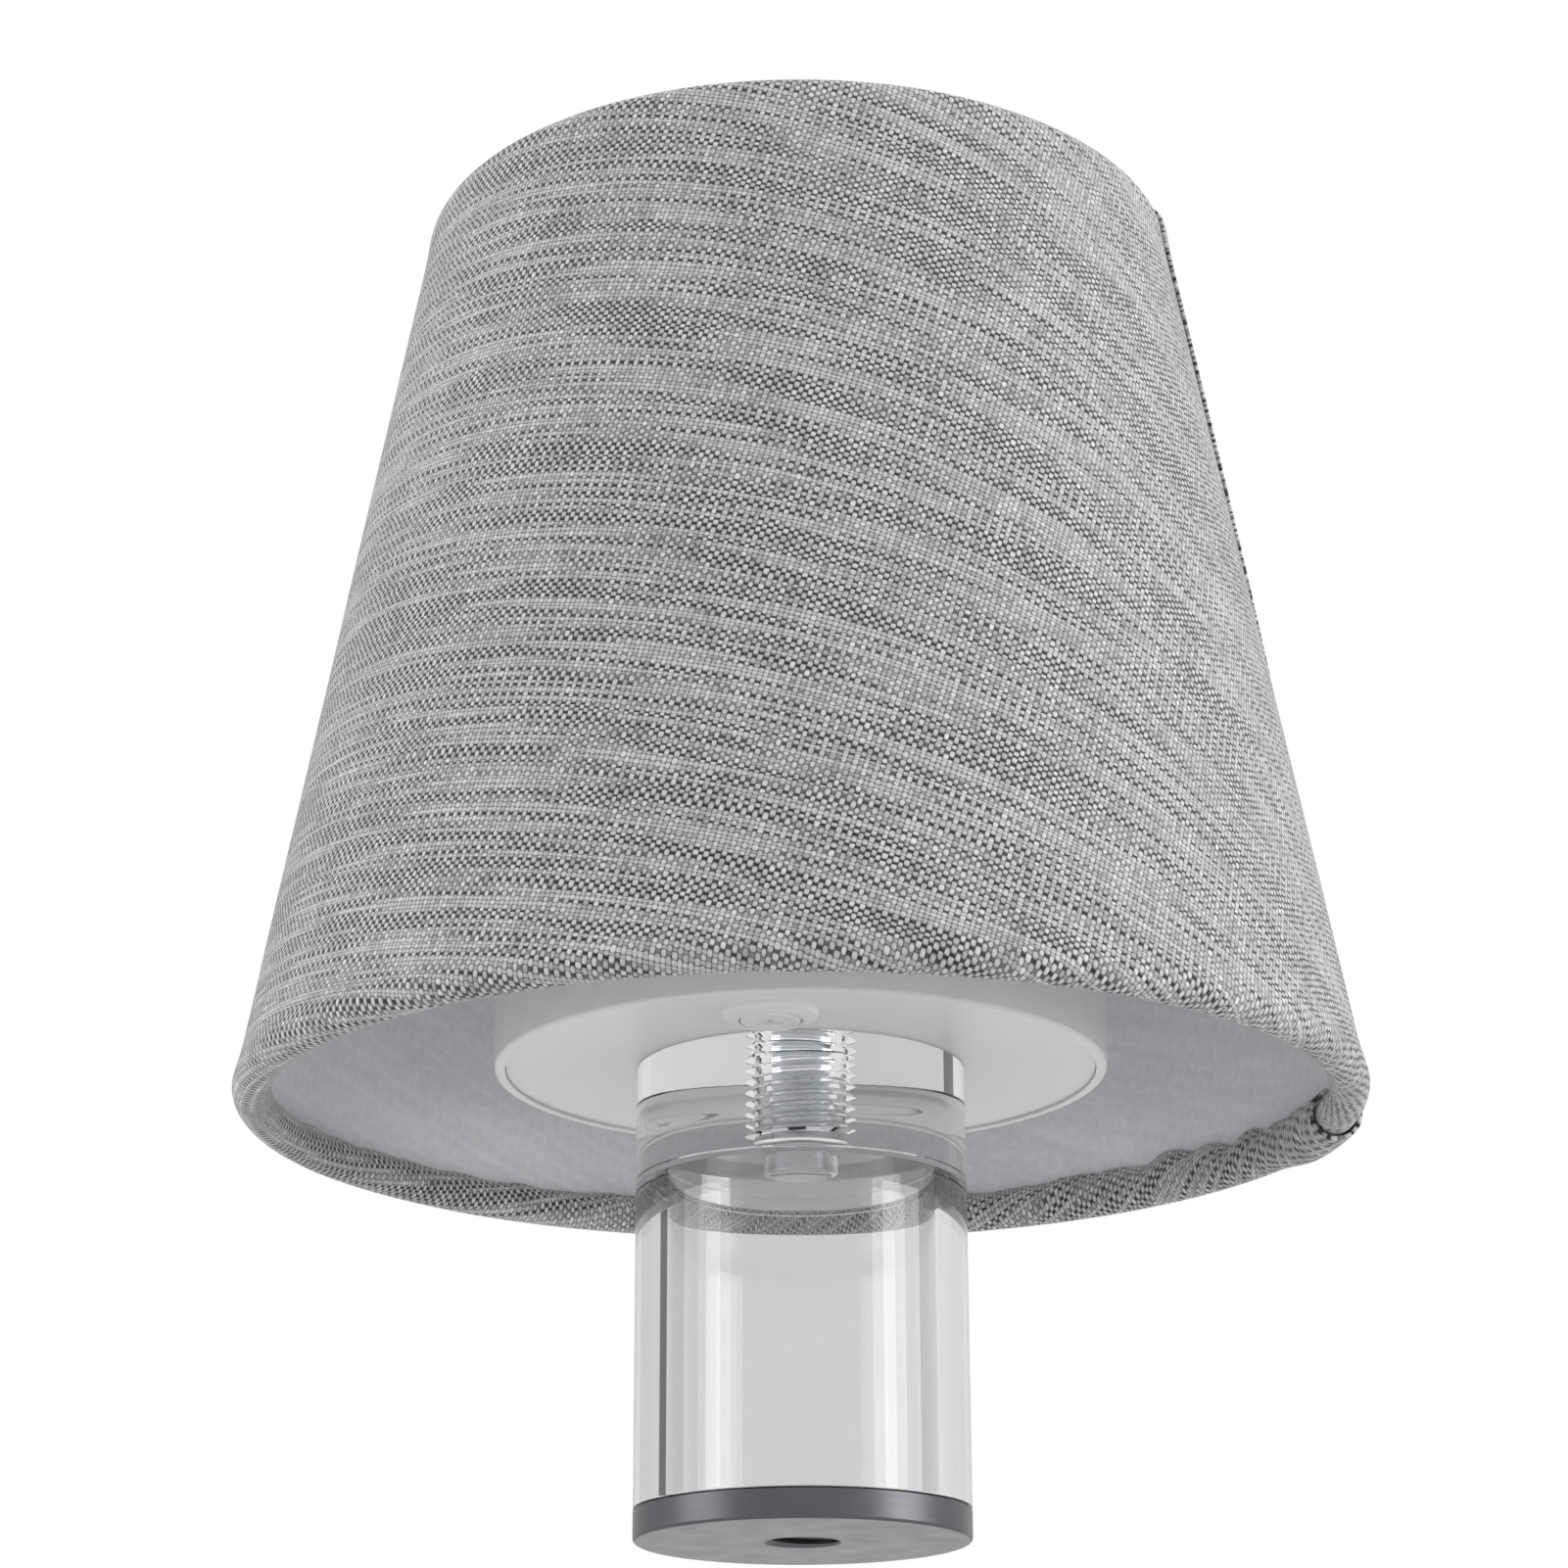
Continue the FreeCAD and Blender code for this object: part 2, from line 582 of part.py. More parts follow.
def controls():
    """Control board on its standoffs, charging socket, switch and push button."""
    back_screw = screw_places()[1]
    slab = block(
        "board_slab",
        ("-sizes.board_width / 2", BOARD_BACK, BOARD_LOW),
        ("sizes.board_width", "sizes.board_depth", "sizes.board_thickness"),
    )
    tools = [
        rod("board_notch", (back_screw[0], back_screw[1], f"{BOARD_LOW} - sizes.overrun"),
            "sizes.boss_radius + sizes.board_notch_play", "sizes.board_thickness + 2 * sizes.overrun")
    ]
    posts = []
    screws = []
    for name, sign in (("left", "-"), ("right", "")):
        middle = f"{sign}sizes.standoff_offset"
        bore = "(sizes.board_screw_radius + sizes.screw_play)"
        tools.append(
            rod(f"board_hole_{name}", (middle, STANDOFF_Y, f"{BOARD_LOW} - sizes.overrun"), bore,
                "sizes.board_thickness + 2 * sizes.overrun")
        )
        post = rod(f"standoff_post_{name}", (middle, STANDOFF_Y, PLATE_TOP), "sizes.standoff_radius",
                   "sizes.standoff_height")
        hollow = rod(f"standoff_bore_{name}",
                     (middle, STANDOFF_Y, f"{BOARD_LOW} - sizes.board_screw_grip - sizes.screw_play"),
                     bore, "sizes.board_screw_grip + sizes.screw_play + sizes.overrun")
        posts.append(cut(f"standoff_{name}", post, [hollow]))
        shank = rod(f"board_shank_{name}", (middle, STANDOFF_Y, f"{BOARD_LOW} - sizes.board_screw_grip"),
                    "sizes.board_screw_radius", "sizes.board_screw_grip + sizes.board_thickness")
        head = rod(f"board_head_{name}", (middle, STANDOFF_Y, BOARD_TOP), "sizes.board_screw_head_radius",
                   "sizes.board_screw_head_height")
        screws.append(joined(f"board_screw_{name}", [shank, head]))
    kept(cut("control_board", slab, tools))
    kept(grouped("board_standoffs", posts))
    kept(grouped("board_screws", screws))

    low_y = f"({SOCKET_FRONT} - sizes.socket_depth)"
    shell = stadium("socket_shell", "-sizes.socket_offset", low_y, BOARD_TOP, "sizes.socket_width",
                    "sizes.socket_height", "sizes.socket_depth")
    hollow = stadium("socket_hollow", "-sizes.socket_offset", f"{low_y} + sizes.socket_floor",
                     f"({BOARD_TOP} + sizes.socket_wall)", "(sizes.socket_width - 2 * sizes.socket_wall)",
                     "(sizes.socket_height - 2 * sizes.socket_wall)", "sizes.socket_depth")
    tongue = block(
        "socket_tongue",
        (
            "-sizes.socket_offset - sizes.tongue_width / 2",
            f"{low_y} + sizes.socket_floor / 2",
            f"{BOARD_TOP} + (sizes.socket_height - sizes.tongue_thickness) / 2",
        ),
        ("sizes.tongue_width", "sizes.socket_floor / 2 + sizes.tongue_length", "sizes.tongue_thickness"),
    )
    kept(joined("charging_socket", [cut("socket_can", shell, [hollow]), tongue]))

    case = block(
        "switch_case",
        ("sizes.button_offset - sizes.switch_width / 2", SWITCH_BACK, BOARD_TOP),
        ("sizes.switch_width", "sizes.switch_depth", "sizes.switch_height"),
    )
    well = rod("switch_well", ("sizes.button_offset", f"{SWITCH_FRONT} - sizes.plunger_well", BUTTON_LEVEL),
               "sizes.plunger_radius + sizes.plunger_play", "sizes.plunger_well + sizes.overrun", along_y=True)
    kept(cut("button_switch", case, [well]))
    start = f"({SWITCH_FRONT} - sizes.plunger_hidden)"
    kept(rod("switch_plunger", ("sizes.button_offset", start, BUTTON_LEVEL), "sizes.plunger_radius",
             f"{FLANGE_BACK} - {start}", along_y=True))
    flange = rod("button_flange", ("sizes.button_offset", FLANGE_BACK, BUTTON_LEVEL),
                 "sizes.button_flange_radius", "sizes.button_flange_thickness", along_y=True)
    stem = rod("button_stem", ("sizes.button_offset", FLANGE_FRONT, BUTTON_LEVEL), "sizes.button_radius",
               f"{BUTTON_FACE} - {FLANGE_FRONT} - sizes.button_edge", along_y=True)
    face = doc.addObject("Part::Cone", "button_face_bevel")
    face.Placement = FreeCAD.Placement(FreeCAD.Vector(), FreeCAD.Rotation(FreeCAD.Vector(1, 0, 0), -90))
    face.setExpression("Radius1", "sizes.button_radius")
    face.setExpression("Radius2", "sizes.button_radius - sizes.button_edge")
    face.setExpression("Height", "sizes.button_edge")
    placed(face, ("sizes.button_offset", f"{BUTTON_FACE} - sizes.button_edge", BUTTON_LEVEL))
    kept(joined("power_button", [flange, stem, face]))


def light():
    """Collar, light board and chips, opal tube, its cap and the rod that draws them together."""
    neck_bore = "(sizes.light_radius + sizes.light_play)"
    collar = turned(
        "light_collar",
        [
            (ROD_HOLE, WEB_LOW),
            ("sizes.collar_cavity_radius", WEB_LOW),
            ("sizes.collar_cavity_radius", PAN_TOP),
            ("sizes.collar_radius", PAN_TOP),
            ("sizes.collar_radius", f"{PAN_TOP} + sizes.collar_foot"),
            ("sizes.collar_neck_radius", f"{PAN_TOP} + sizes.collar_foot + sizes.collar_flare"),
            ("sizes.collar_neck_radius", COLLAR_TOP),
            (neck_bore, COLLAR_TOP),
            (neck_bore, WEB_TOP),
            (ROD_HOLE, WEB_TOP),
        ],
    )
    rounded(collar, [("sizes.collar_neck_radius", f"{PAN_TOP} + sizes.collar_foot + sizes.collar_flare")],
            "sizes.collar_round")
    kept(collar)
    kept(ring("led_board", ROD_HOLE, f"{LIGHT_BORE} - sizes.light_play", WEB_TOP, LED_BOARD_TOP))
    chips = []
    count = int(number("sizes.led_count"))
    for place in range(count):
        angle = f"({place} * 360 / {count})"
        near = "(sizes.led_circle_radius - sizes.led_size / 2)"
        chip = doc.addObject("Part::Box", f"led_chip_{place + 1}")
        chip.Placement = FreeCAD.Placement(
            FreeCAD.Vector(), FreeCAD.Rotation(FreeCAD.Vector(0, 0, 1), number(angle))
        )
        for side, text in (("Length", "sizes.led_size"), ("Width", "sizes.led_size"), ("Height", "sizes.led_height")):
            chip.setExpression(side, text)
        placed(
            chip,
            (
                f"{near} * cos({angle}) + sizes.led_size / 2 * sin({angle})",
                f"{near} * sin({angle}) - sizes.led_size / 2 * cos({angle})",
                LED_BOARD_TOP,
            ),
        )
        chips.append(chip)
    kept(grouped("led_chips", chips))
    kept(ring("light_tube", LIGHT_BORE, "sizes.light_radius", WEB_TOP, LIGHT_TOP))
    spigot = f"({LIGHT_BORE} - sizes.light_play)"
    flange = "(sizes.light_radius + sizes.flange_overhang)"
    flange_top = f"({LIGHT_TOP} + sizes.flange_thickness)"
    rod_top = f"({SPIGOT_LOW} + sizes.rod_grip)"
    cap = turned(
        "light_cap",
        [
            (ROD_HOLE, SPIGOT_LOW),
            (spigot, SPIGOT_LOW),
            (spigot, LIGHT_TOP),
            (flange, LIGHT_TOP),
            (flange, flange_top),
            ("sizes.shoulder_radius", flange_top),
            ("sizes.shoulder_radius", SEAT),
            ("sizes.pin_radius", SEAT),
            ("sizes.pin_radius", PIN_TOP),
            ("0", PIN_TOP),
            ("0", f"{rod_top} + sizes.rod_gap"),
            (ROD_HOLE, f"{rod_top} + sizes.rod_gap"),
        ],
    )
    rounded(cap, [(flange, flange_top)], "sizes.flange_round")
    rounded(cap, [("sizes.pin_radius", PIN_TOP)], "sizes.pin_round")
    kept(cap)
    kept(rod("tie_rod", ("0", "0", f"{STUD_TOP} - sizes.rod_grip"), "sizes.rod_radius",
             f"{rod_top} - {STUD_TOP} + sizes.rod_grip"))
    kept(ring("seat_washer", "sizes.pin_radius + sizes.seat_washer_play", "sizes.seat_washer_radius",
              SEAT, HUB_LOW))


class ShadeCone:
    """The shade's outer face and the places measured from it, as plain numbers of the sheet."""

    def __init__(self):
        self.low = number(SHADE_LOW)
        self.top = number(SHADE_TOP)
        self.bottom_radius = number("sizes.shade_bottom_radius")
        self.top_radius = number("sizes.shade_top_radius")
        self.slope = (self.bottom_radius - self.top_radius) / (self.top - self.low)
        self.lean = math.atan(self.slope)
        self.outward = FreeCAD.Vector(math.cos(self.lean), 0, math.sin(self.lean))
        self.upright = FreeCAD.Vector(-math.sin(self.lean), 0, math.cos(self.lean))
        self.cloth = number("sizes.cloth_thickness")
        self.gap = number("sizes.glue_gap")
        self.liner = number("sizes.liner_thickness")

    def point(self, height, depth):
        """A point of the XZ plane at this height, this far inside the outer face."""
        radius = self.bottom_radius - self.slope * (height - self.low) - depth / math.cos(self.lean)
        return FreeCAD.Vector(radius, 0, height)

    def roll_centre(self, upper):
        """Centre of the section of the bottom or top rolled edge, where the ring's wire lies."""
        if upper:
            roll = number("sizes.top_roll_radius")
            return self.point(self.top - roll, roll)
        roll = number("sizes.bottom_roll_radius")
        return self.point(self.low + roll, roll)

    def rolled_edge(self, upper):
        """Points of one rolled edge: three on the outer round, four on the hem's end, three on the inner round."""
        name = "top" if upper else "bottom"
        way = 1 if upper else -1
        roll = number(f"sizes.{name}_roll_radius")
        hem = number(f"sizes.{name}_hem_height")
        centre = self.roll_centre(upper)
        middle = roll - self.cloth / 2
        end_height = self.top - hem if upper else self.low + hem
        end = self.point(end_height, self.cloth + 2 * self.gap + self.liner + self.cloth / 2)
        reach = end - centre
        turn = math.acos(middle / reach.Length)
        angle = math.atan2(reach.z, reach.x) - way * turn
        inward = FreeCAD.Vector(math.cos(angle), 0, math.sin(angle))
        beyond = FreeCAD.Vector(
            self.outward.x + inward.x, 0, self.outward.z + inward.z
        )
        if beyond.Length < NEAR or beyond.z * way < 0:
            beyond = FreeCAD.Vector(0, 0, way)
        beyond.normalize()
        half = inward * (self.cloth / 2)
        outer = [centre + self.outward * roll, centre + beyond * roll, centre + inward * roll]
        inner = [
            centre + inward * (roll - self.cloth),
            centre + beyond * (roll - self.cloth),
            centre + self.outward * (roll - self.cloth),
        ]
        return outer, [end + half, end - half], inner


def revolved(outline, degrees=360.0):
    """A solid made by turning a closed wire of the XZ plane about Z."""
    return Part.Face(outline).revolve(FreeCAD.Vector(), FreeCAD.Vector(0, 0, 1), degrees)


def line(start, end):
    """A straight edge."""
    return Part.LineSegment(start, end).toShape()


def arc(points):
    """An arc through three points."""
    return Part.Arc(*points).toShape()


def polygon(points):
    """A closed wire of straight edges."""
    return Part.makePolygon(points + points[:1])


def feature(label, shape):
    """A sub-part whose shape is made here from the sheet's numbers."""
    piece = doc.addObject("Part::Feature", label)
    piece.Shape = shape
    return kept(piece)


def arm(cone):
    """One spider arm in the XZ plane: out along the hub, a bend, and up beside the top ring."""
    wire = number("sizes.arm_wire_radius")
    level = number(HUB_TOP) + wire
    tip = (
        cone.roll_centre(True)
        - cone.outward * (number("sizes.top_ring_wire_radius") + wire)
        + cone.upright * number("sizes.arm_above_ring")
    )
    drop = (tip.z - level) / cone.upright.z
    knee = tip - cone.upright * drop
    run = drop - number("sizes.arm_straight")
    bend = run / math.tan((math.pi / 2 + cone.lean) / 2)
    before = knee - FreeCAD.Vector(run, 0, 0)
    after = knee + cone.upright * run
    bend_centre = before + FreeCAD.Vector(0, 0, bend)
    middle = knee - bend_centre
    middle.normalize()
    start = FreeCAD.Vector(number("sizes.arm_start"), 0, level)
    path = Part.Wire(
        [line(start, before), arc([before, bend_centre + middle * bend, after]), line(after, tip)]
    )
    section = Part.Wire(Part.Circle(start, FreeCAD.Vector(1, 0, 0), wire).toShape())
    return path.makePipeShell([section], True, False)


def hem_notch(cone):
    """The snip that lets one arm through the inner side of the upper rolled edge, with flat sides."""
    play = number("sizes.hem_notch_play")
    wire = number("sizes.arm_wire_radius")
    ring_wire = number("sizes.top_ring_wire_radius")
    near = cone.roll_centre(True) - cone.outward * (ring_wire - play)
    far = near - cone.outward * (2 * (wire + play) + number("sizes.overrun"))
    above = cone.upright * (number("sizes.arm_above_ring") + play)
    below = cone.upright * -number("sizes.top_hem_height")
    half = FreeCAD.Vector(0, wire + play, 0)
    corners = [near + above - half, near + below - half, far + below - half, far + above - half]
    return Part.Face(polygon(corners)).extrude(half * 2)


def arms(shape):
    """Copies of a shape turned about Z to the places of the spider's arms."""
    count = int(number("sizes.arm_count"))
    copies = []
    for place in range(count):
        copy = shape.copy()
        copy.rotate(FreeCAD.Vector(), FreeCAD.Vector(0, 0, 1), number("sizes.arm_turn") + place * 360.0 / count)
        copies.append(copy)
    return copies


def shade():
    """Hub, arms, two rings, liner and the cloth with its rolled hems."""
    bore = "(sizes.pin_radius + sizes.hub_play)"
    kept(
        turned(
            "spider_hub",
            [
                (bore, HUB_LOW),
                ("sizes.hub_radius", HUB_LOW),
                ("sizes.hub_radius", HUB_TOP),
                ("sizes.hub_neck_radius", HUB_TOP),
                ("sizes.hub_neck_radius", NECK_TOP),
                (bore, NECK_TOP),
            ],
        )
    )
    cone = ShadeCone()
    feature("spider_arms", Part.Compound(arms(arm(cone))))
    for name, upper in (("top_ring", True), ("bottom_ring", False)):
        centre = cone.roll_centre(upper)
        torus = Part.makeTorus(centre.x, number(f"sizes.{name}_wire_radius"), FreeCAD.Vector(0, 0, centre.z))
        feature(name, torus)

    outside = cone.cloth + cone.gap
    inside = outside + cone.liner
    low = cone.roll_centre(False).z + number("sizes.bottom_ring_wire_radius") + cone.gap
    high = cone.roll_centre(True).z
    liner = [cone.point(low, inside), cone.point(low, outside), cone.point(high, outside), cone.point(high, inside)]
    feature("shade_liner", revolved(polygon(liner)))

    outer_low, end_low, inner_low = cone.rolled_edge(False)
    outer_top, end_top, inner_top = cone.rolled_edge(True)
    outline = Part.Wire(
        [
            line(outer_top[0], outer_low[0]),
            arc(outer_low),
            line(outer_low[2], end_low[0]),
            line(end_low[0], end_low[1]),
            line(end_low[1], inner_low[0]),
            arc(inner_low),
            line(inner_low[2], inner_top[2]),
            arc(inner_top[::-1]),
            line(inner_top[0], end_top[1]),
            line(end_top[1], end_top[0]),
            line(end_top[0], outer_top[2]),
            arc(outer_top[::-1]),
        ]
    )
    cloth = revolved(outline)
    end_gap = number("sizes.seam_end_gap")
    rise = number("sizes.seam_rise")
    seam_low = cone.low + end_gap
    seam_high = cone.top - end_gap
    overlap = [
        cone.point(seam_low, cone.cloth / 2),
        cone.point(seam_low, -rise),
        cone.point(seam_high, -rise),
        cone.point(seam_high, cone.cloth / 2),
    ]
    middle_radius = (cone.bottom_radius + cone.top_radius) / 2
    seam_angle = math.degrees(number("sizes.seam_width") / middle_radius)
    flap = revolved(polygon(overlap), seam_angle)
    flap.rotate(FreeCAD.Vector(), FreeCAD.Vector(0, 0, 1), number("sizes.seam_turn") - seam_angle / 2)
    cloth = cloth.fuse(flap)
    feature("shade_cloth", cloth.cut(Part.Compound(arms(hem_notch(cone)))))


def checked():
    """Stops if any object failed or any sub-part isn't made of valid solids."""
    doc.recompute()
    for item in doc.Objects:
        if "Invalid" in item.State or "Error" in item.State:
            raise RuntimeError(f"{item.Label} failed: {item.State}")
    for piece in nodes:
        shape = piece.Shape
        if shape.isNull() or not shape.isValid() or not shape.Solids:
            raise RuntimeError(f"{piece.Label} has no valid solid")


def main():
    """Builds every sub-part, checks it and writes it to parts."""
    column()
    pan()
    cells()
    controls()
    light()
    shade()
    checked()
    os.makedirs("parts", exist_ok=True)
    for piece in nodes:
        box = piece.Shape.BoundBox
        print(
            f"{piece.Label}: {len(piece.Shape.Solids)} solids, {piece.Shape.Volume:.1f} mm3, "
            f"z {box.ZMin:.2f} to {box.ZMax:.2f}, x {box.XMin:.2f} to {box.XMax:.2f}, y {box.YMin:.2f} to {box.YMax:.2f}"
        )
        piece.Shape.exportStep(f"parts/{piece.Label}.step")


main()
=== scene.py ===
"""Dresses the candle lamp: clear column, white pan, candle light and woven cloth shade.

Every class holds its sizes as fields, the lamp's in millimetres and the studio's in metres. The lamp's
meshes are drawn in millimetres and scaled to metres once. Its axis is Z, its foot stands at Z = 0, and the
photograph was taken from -Y and from below.
"""

import logging
import math
from dataclasses import dataclass
from enum import Enum
from functools import cache
from typing import Optional, Sequence, Union

import bmesh
import bpy
from mathutils import Matrix, Vector, noise


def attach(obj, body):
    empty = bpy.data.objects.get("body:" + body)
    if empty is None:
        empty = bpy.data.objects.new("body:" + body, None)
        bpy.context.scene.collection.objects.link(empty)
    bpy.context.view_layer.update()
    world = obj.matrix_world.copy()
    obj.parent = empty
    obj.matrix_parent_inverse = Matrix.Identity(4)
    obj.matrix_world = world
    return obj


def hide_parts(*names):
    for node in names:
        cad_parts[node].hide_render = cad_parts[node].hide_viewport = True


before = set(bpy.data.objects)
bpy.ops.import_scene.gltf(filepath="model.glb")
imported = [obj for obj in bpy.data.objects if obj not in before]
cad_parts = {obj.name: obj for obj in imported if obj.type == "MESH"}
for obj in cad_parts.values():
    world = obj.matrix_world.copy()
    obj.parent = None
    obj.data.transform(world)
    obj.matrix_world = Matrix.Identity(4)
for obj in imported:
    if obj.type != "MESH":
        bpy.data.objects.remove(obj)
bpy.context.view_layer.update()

MM = 0.001
MERGE = 1e-3
SMOOTH_BELOW = math.radians(32)
CORNER_STEPS = 5
THREAD_STEPS = 80
SPARE_TURNS = 2
FLANK_START = 0.2
CREST_START = 0.54
CREST_END = 0.66
ORIGIN = (0.0, 0.0, 0.0)
UPWARDS = (0.0, 0.0, 1.0)

Mesh = bmesh.types.BMesh
Socket = bpy.types.NodeSocket
Triple = tuple[float, float, float]
Colour = Triple
Stops = Sequence[tuple[float, Colour]]
Feed = Union[Socket, float]
log = logging.getLogger("lamp")


class Body(Enum):
    """The rigid bodies that the new pieces ride on."""

    LAMP = "lamp"
    SHADE = "shade"


class Rim(Enum):
    """The two rolled edges of the shade."""

    BOTTOM = -1
    TOP = 1


def grey(level: float) -> Colour:
    """The neutral colour of a level."""
    return (level, level, level)


def clamped(value: float) -> float:
    """The value, kept within 0 and 1."""
    return min(max(value, 0.0), 1.0)


class Tree:
    """A material under construction: a principled surface and the nodes that feed it."""

    def __init__(self, name: str) -> None:
        """Starts a material with an empty node tree.

        Args:
            name: The material's name.
        """
        self.material = bpy.data.materials.new(name)
        self.material.use_nodes = True
        self.nodes = self.material.node_tree.nodes
        self.links = self.material.node_tree.links
        self.nodes.clear()
        self.surface = self.add("ShaderNodeBsdfPrincipled")
        output = self.add("ShaderNodeOutputMaterial")
        self.links.new(self.surface.outputs["BSDF"], output.inputs["Surface"])
        self.where = self.add("ShaderNodeTexCoord")

    def add(self, kind: str, **settings: object) -> bpy.types.Node:
        """Adds a node.

        Args:
            kind: The node's type name.
            settings: Properties to set on it.

        Returns:
            The new node.
        """
        node = self.nodes.new(kind)
        for name, value in settings.items():
            setattr(node, name, value)
        return node

    def feed(self, socket: Socket, value: Feed) -> None:
        """Links a socket into an input, or sets the input's plain value.

        Args:
            socket: The input.
            value: An output socket, a number or a tuple.
        """
        if isinstance(value, Socket):
            self.links.new(value, socket)
        else:
            socket.default_value = value

    def set(self, **inputs: Union[Feed, tuple]) -> "Tree":
        """Feeds inputs of the surface, with underscores for the spaces of their names."""
        for name, value in inputs.items():
            label = " ".join(word if word in ("IOR",) else word.capitalize() for word in name.split("_"))
            self.feed(self.surface.inputs[label], value)
        return self

    def sum(self, kind: str, first: Feed, second: Feed = 0.0, third: Feed = 0.0) -> Socket:
        """One step of arithmetic.

        Args:
            kind: The operation, as the Math node names it.
            first: The first number or socket.
            second: The second, where the operation has one.
            third: The third, where the operation has one.

        Returns:
            The result's socket.
        """
        node = self.add("ShaderNodeMath", operation=kind)
        for socket, value in zip(node.inputs, (first, second, third)):
            self.feed(socket, value)
        return node.outputs[0]

    def vector(self, x: Feed, y: Feed, z: Feed = 0.0) -> Socket:
        """A vector from three numbers or sockets."""
        node = self.add("ShaderNodeCombineXYZ")
        for socket, value in zip(node.inputs, (x, y, z)):
            self.feed(socket, value)
        return node.outputs[0]

    def noise(self, scale: float, detail: float = 2.0, vector: Optional[Socket] = None,
              stretch: Sequence[float] = (1.0, 1.0, 1.0)) -> Socket:
        """Soft random values from 0 to 1.

        Args:
            scale: Cells per metre, or per unit of the vector.
            detail: How many finer layers are added.
            vector: Where to read it; the piece's own coordinates if left out.
            stretch: Factors on the three coordinates.

        Returns:
            The noise's socket.
        """
        mapping = self.add("ShaderNodeMapping")
        self.links.new(vector or self.where.outputs["Object"], mapping.inputs["Vector"])
        mapping.inputs["Scale"].default_value = stretch
        node = self.add("ShaderNodeTexNoise")
        self.links.new(mapping.outputs["Vector"], node.inputs["Vector"])
        node.inputs["Scale"].default_value = scale
        node.inputs["Detail"].default_value = detail
        return node.outputs["Fac"]

    def ramp(self, factor: Socket, stops: Stops) -> Socket:
        """Colours along a factor.

        Args:
            factor: The socket from 0 to 1.
            stops: Positions with their colours, in order.

        Returns:
            The colour's socket.
        """
        node = self.add("ShaderNodeValToRGB")
        elements = node.color_ramp.elements
        while len(elements) < len(stops):
            elements.new(1.0)
        for element, (position, colour) in zip(elements, stops):
            element.position = position
            element.color = (*colour, 1.0)
        self.links.new(factor, node.inputs["Fac"])
        return node.outputs["Color"]

    def span(self, factor: Socket, low: float, high: float) -> Socket:
        """Spreads a factor of 0 to 1 over low to high."""
        return self.sum("MULTIPLY_ADD", factor, high - low, low)

    def mix(self, factor: Feed, first: Union[Feed, tuple], second: Union[Feed, tuple],
            blend: str = "MIX") -> Socket:
        """Mixes two colours.

        Args:
            factor: How much of the second.
            first: The first colour.
            second: The second colour.
            blend: The way of mixing.

        Returns:
            The colour's socket.
        """
        node = self.add("ShaderNodeMix", data_type="RGBA", blend_type=blend)
        self.feed(node.inputs["Factor"], factor)
        self.feed(node.inputs["A"], first)
        self.feed(node.inputs["B"], second)
        return node.outputs["Result"]

    def emboss(self, height: Socket, depth: float, strength: float = 1.0) -> "Tree":
        """Raises the surface's shading by a height.

        Args:
            height: The height's socket, from 0 to 1.
            depth: What a height of 1 stands for, in metres.
            strength: How strongly it shows.

        Returns:
            The tree itself.
        """
        bump = self.add("ShaderNodeBump")
        bump.inputs["Strength"].default_value = strength
        bump.inputs["Distance"].default_value = depth
        self.links.new(height, bump.inputs["Height"])
        self.links.new(bump.outputs["Normal"], self.surface.inputs["Normal"])
        return self


@dataclass(frozen=True)
class Finish:
    """A plain finish with a slight mottle, and the parent of the others."""

    name: str
    colour: Colour
    roughness: float = 0.5
    mottle: float = 0.06
    grain: float = 900.0
    depth: float = 0.00002
    clouds: float = 8.0
    spread: float = 0.05
    shade_stops: tuple[float, float] = (0.35, 0.65)

    def shades(self, tree: Tree) -> Socket:
        """The mottled colour: a little darker and a little lighter than the finish's own."""
        low = tuple(value * (1 - self.mottle) for value in self.colour)
        high = tuple(min(1.0, value * (1 + self.mottle)) for value in self.colour)
        cloudy = tree.noise(self.grain / self.clouds, detail=3.0)
        return tree.ramp(cloudy, list(zip(self.shade_stops, (low, high))))

    def dress(self, tree: Tree) -> None:
        """Feeds the surface of a material.

        Args:
            tree: The material under construction.
        """
        fine = tree.noise(self.grain)
        tree.set(base_color=self.shades(tree))
        tree.set(roughness=tree.span(fine, self.roughness - self.spread, self.roughness + self.spread))
        tree.emboss(fine, self.depth)

    @cache
    def material(self) -> bpy.types.Material:
        """The material, made once and shared after that."""
        tree = Tree(self.name)
        self.dress(tree)
        return tree.material


@dataclass(frozen=True)
class Metal(Finish):
    """Bare or plated metal with turning or drawing marks round the lamp's axis."""

    marks: float = 3000.0
    rings: Triple = (0.06, 0.06, 1.0)
    smoother: float = 0.06
    rougher: float = 0.1

    def dress(self, tree: Tree) -> None:
        """Feeds a metallic surface with fine rings."""
        fine = tree.noise(self.marks, stretch=self.rings)
        tree.set(metallic=1.0, base_color=self.shades(tree))
        tree.set(roughness=tree.span(fine, self.roughness - self.smoother, self.roughness + self.rougher))
        tree.emboss(fine, self.depth)


@dataclass(frozen=True)
class Acrylic(Finish):
    """Clear cast acrylic with polished faces."""

    index: float = 1.49

    def dress(self, tree: Tree) -> None:
        """Feeds a clear surface whose polish varies a little."""
        tree.set(base_color=(*self.colour, 1.0), transmission_weight=1.0, IOR=self.index)
        tree.set(roughness=tree.span(tree.noise(self.grain), 0.0, self.roughness))


@dataclass(frozen=True)
class Opal(Finish):
    """Milky plastic that light passes into."""

    glow: float = 0.35
    reach: float = 0.004
    reach_by_colour: Colour = (1.0, 0.9, 0.8)

    def dress(self, tree: Tree) -> None:
        """Feeds a surface with light scattered under it."""
        super().dress(tree)
        tree.set(subsurface_weight=self.glow, subsurface_scale=self.reach)
        tree.set(subsurface_radius=self.reach_by_colour)


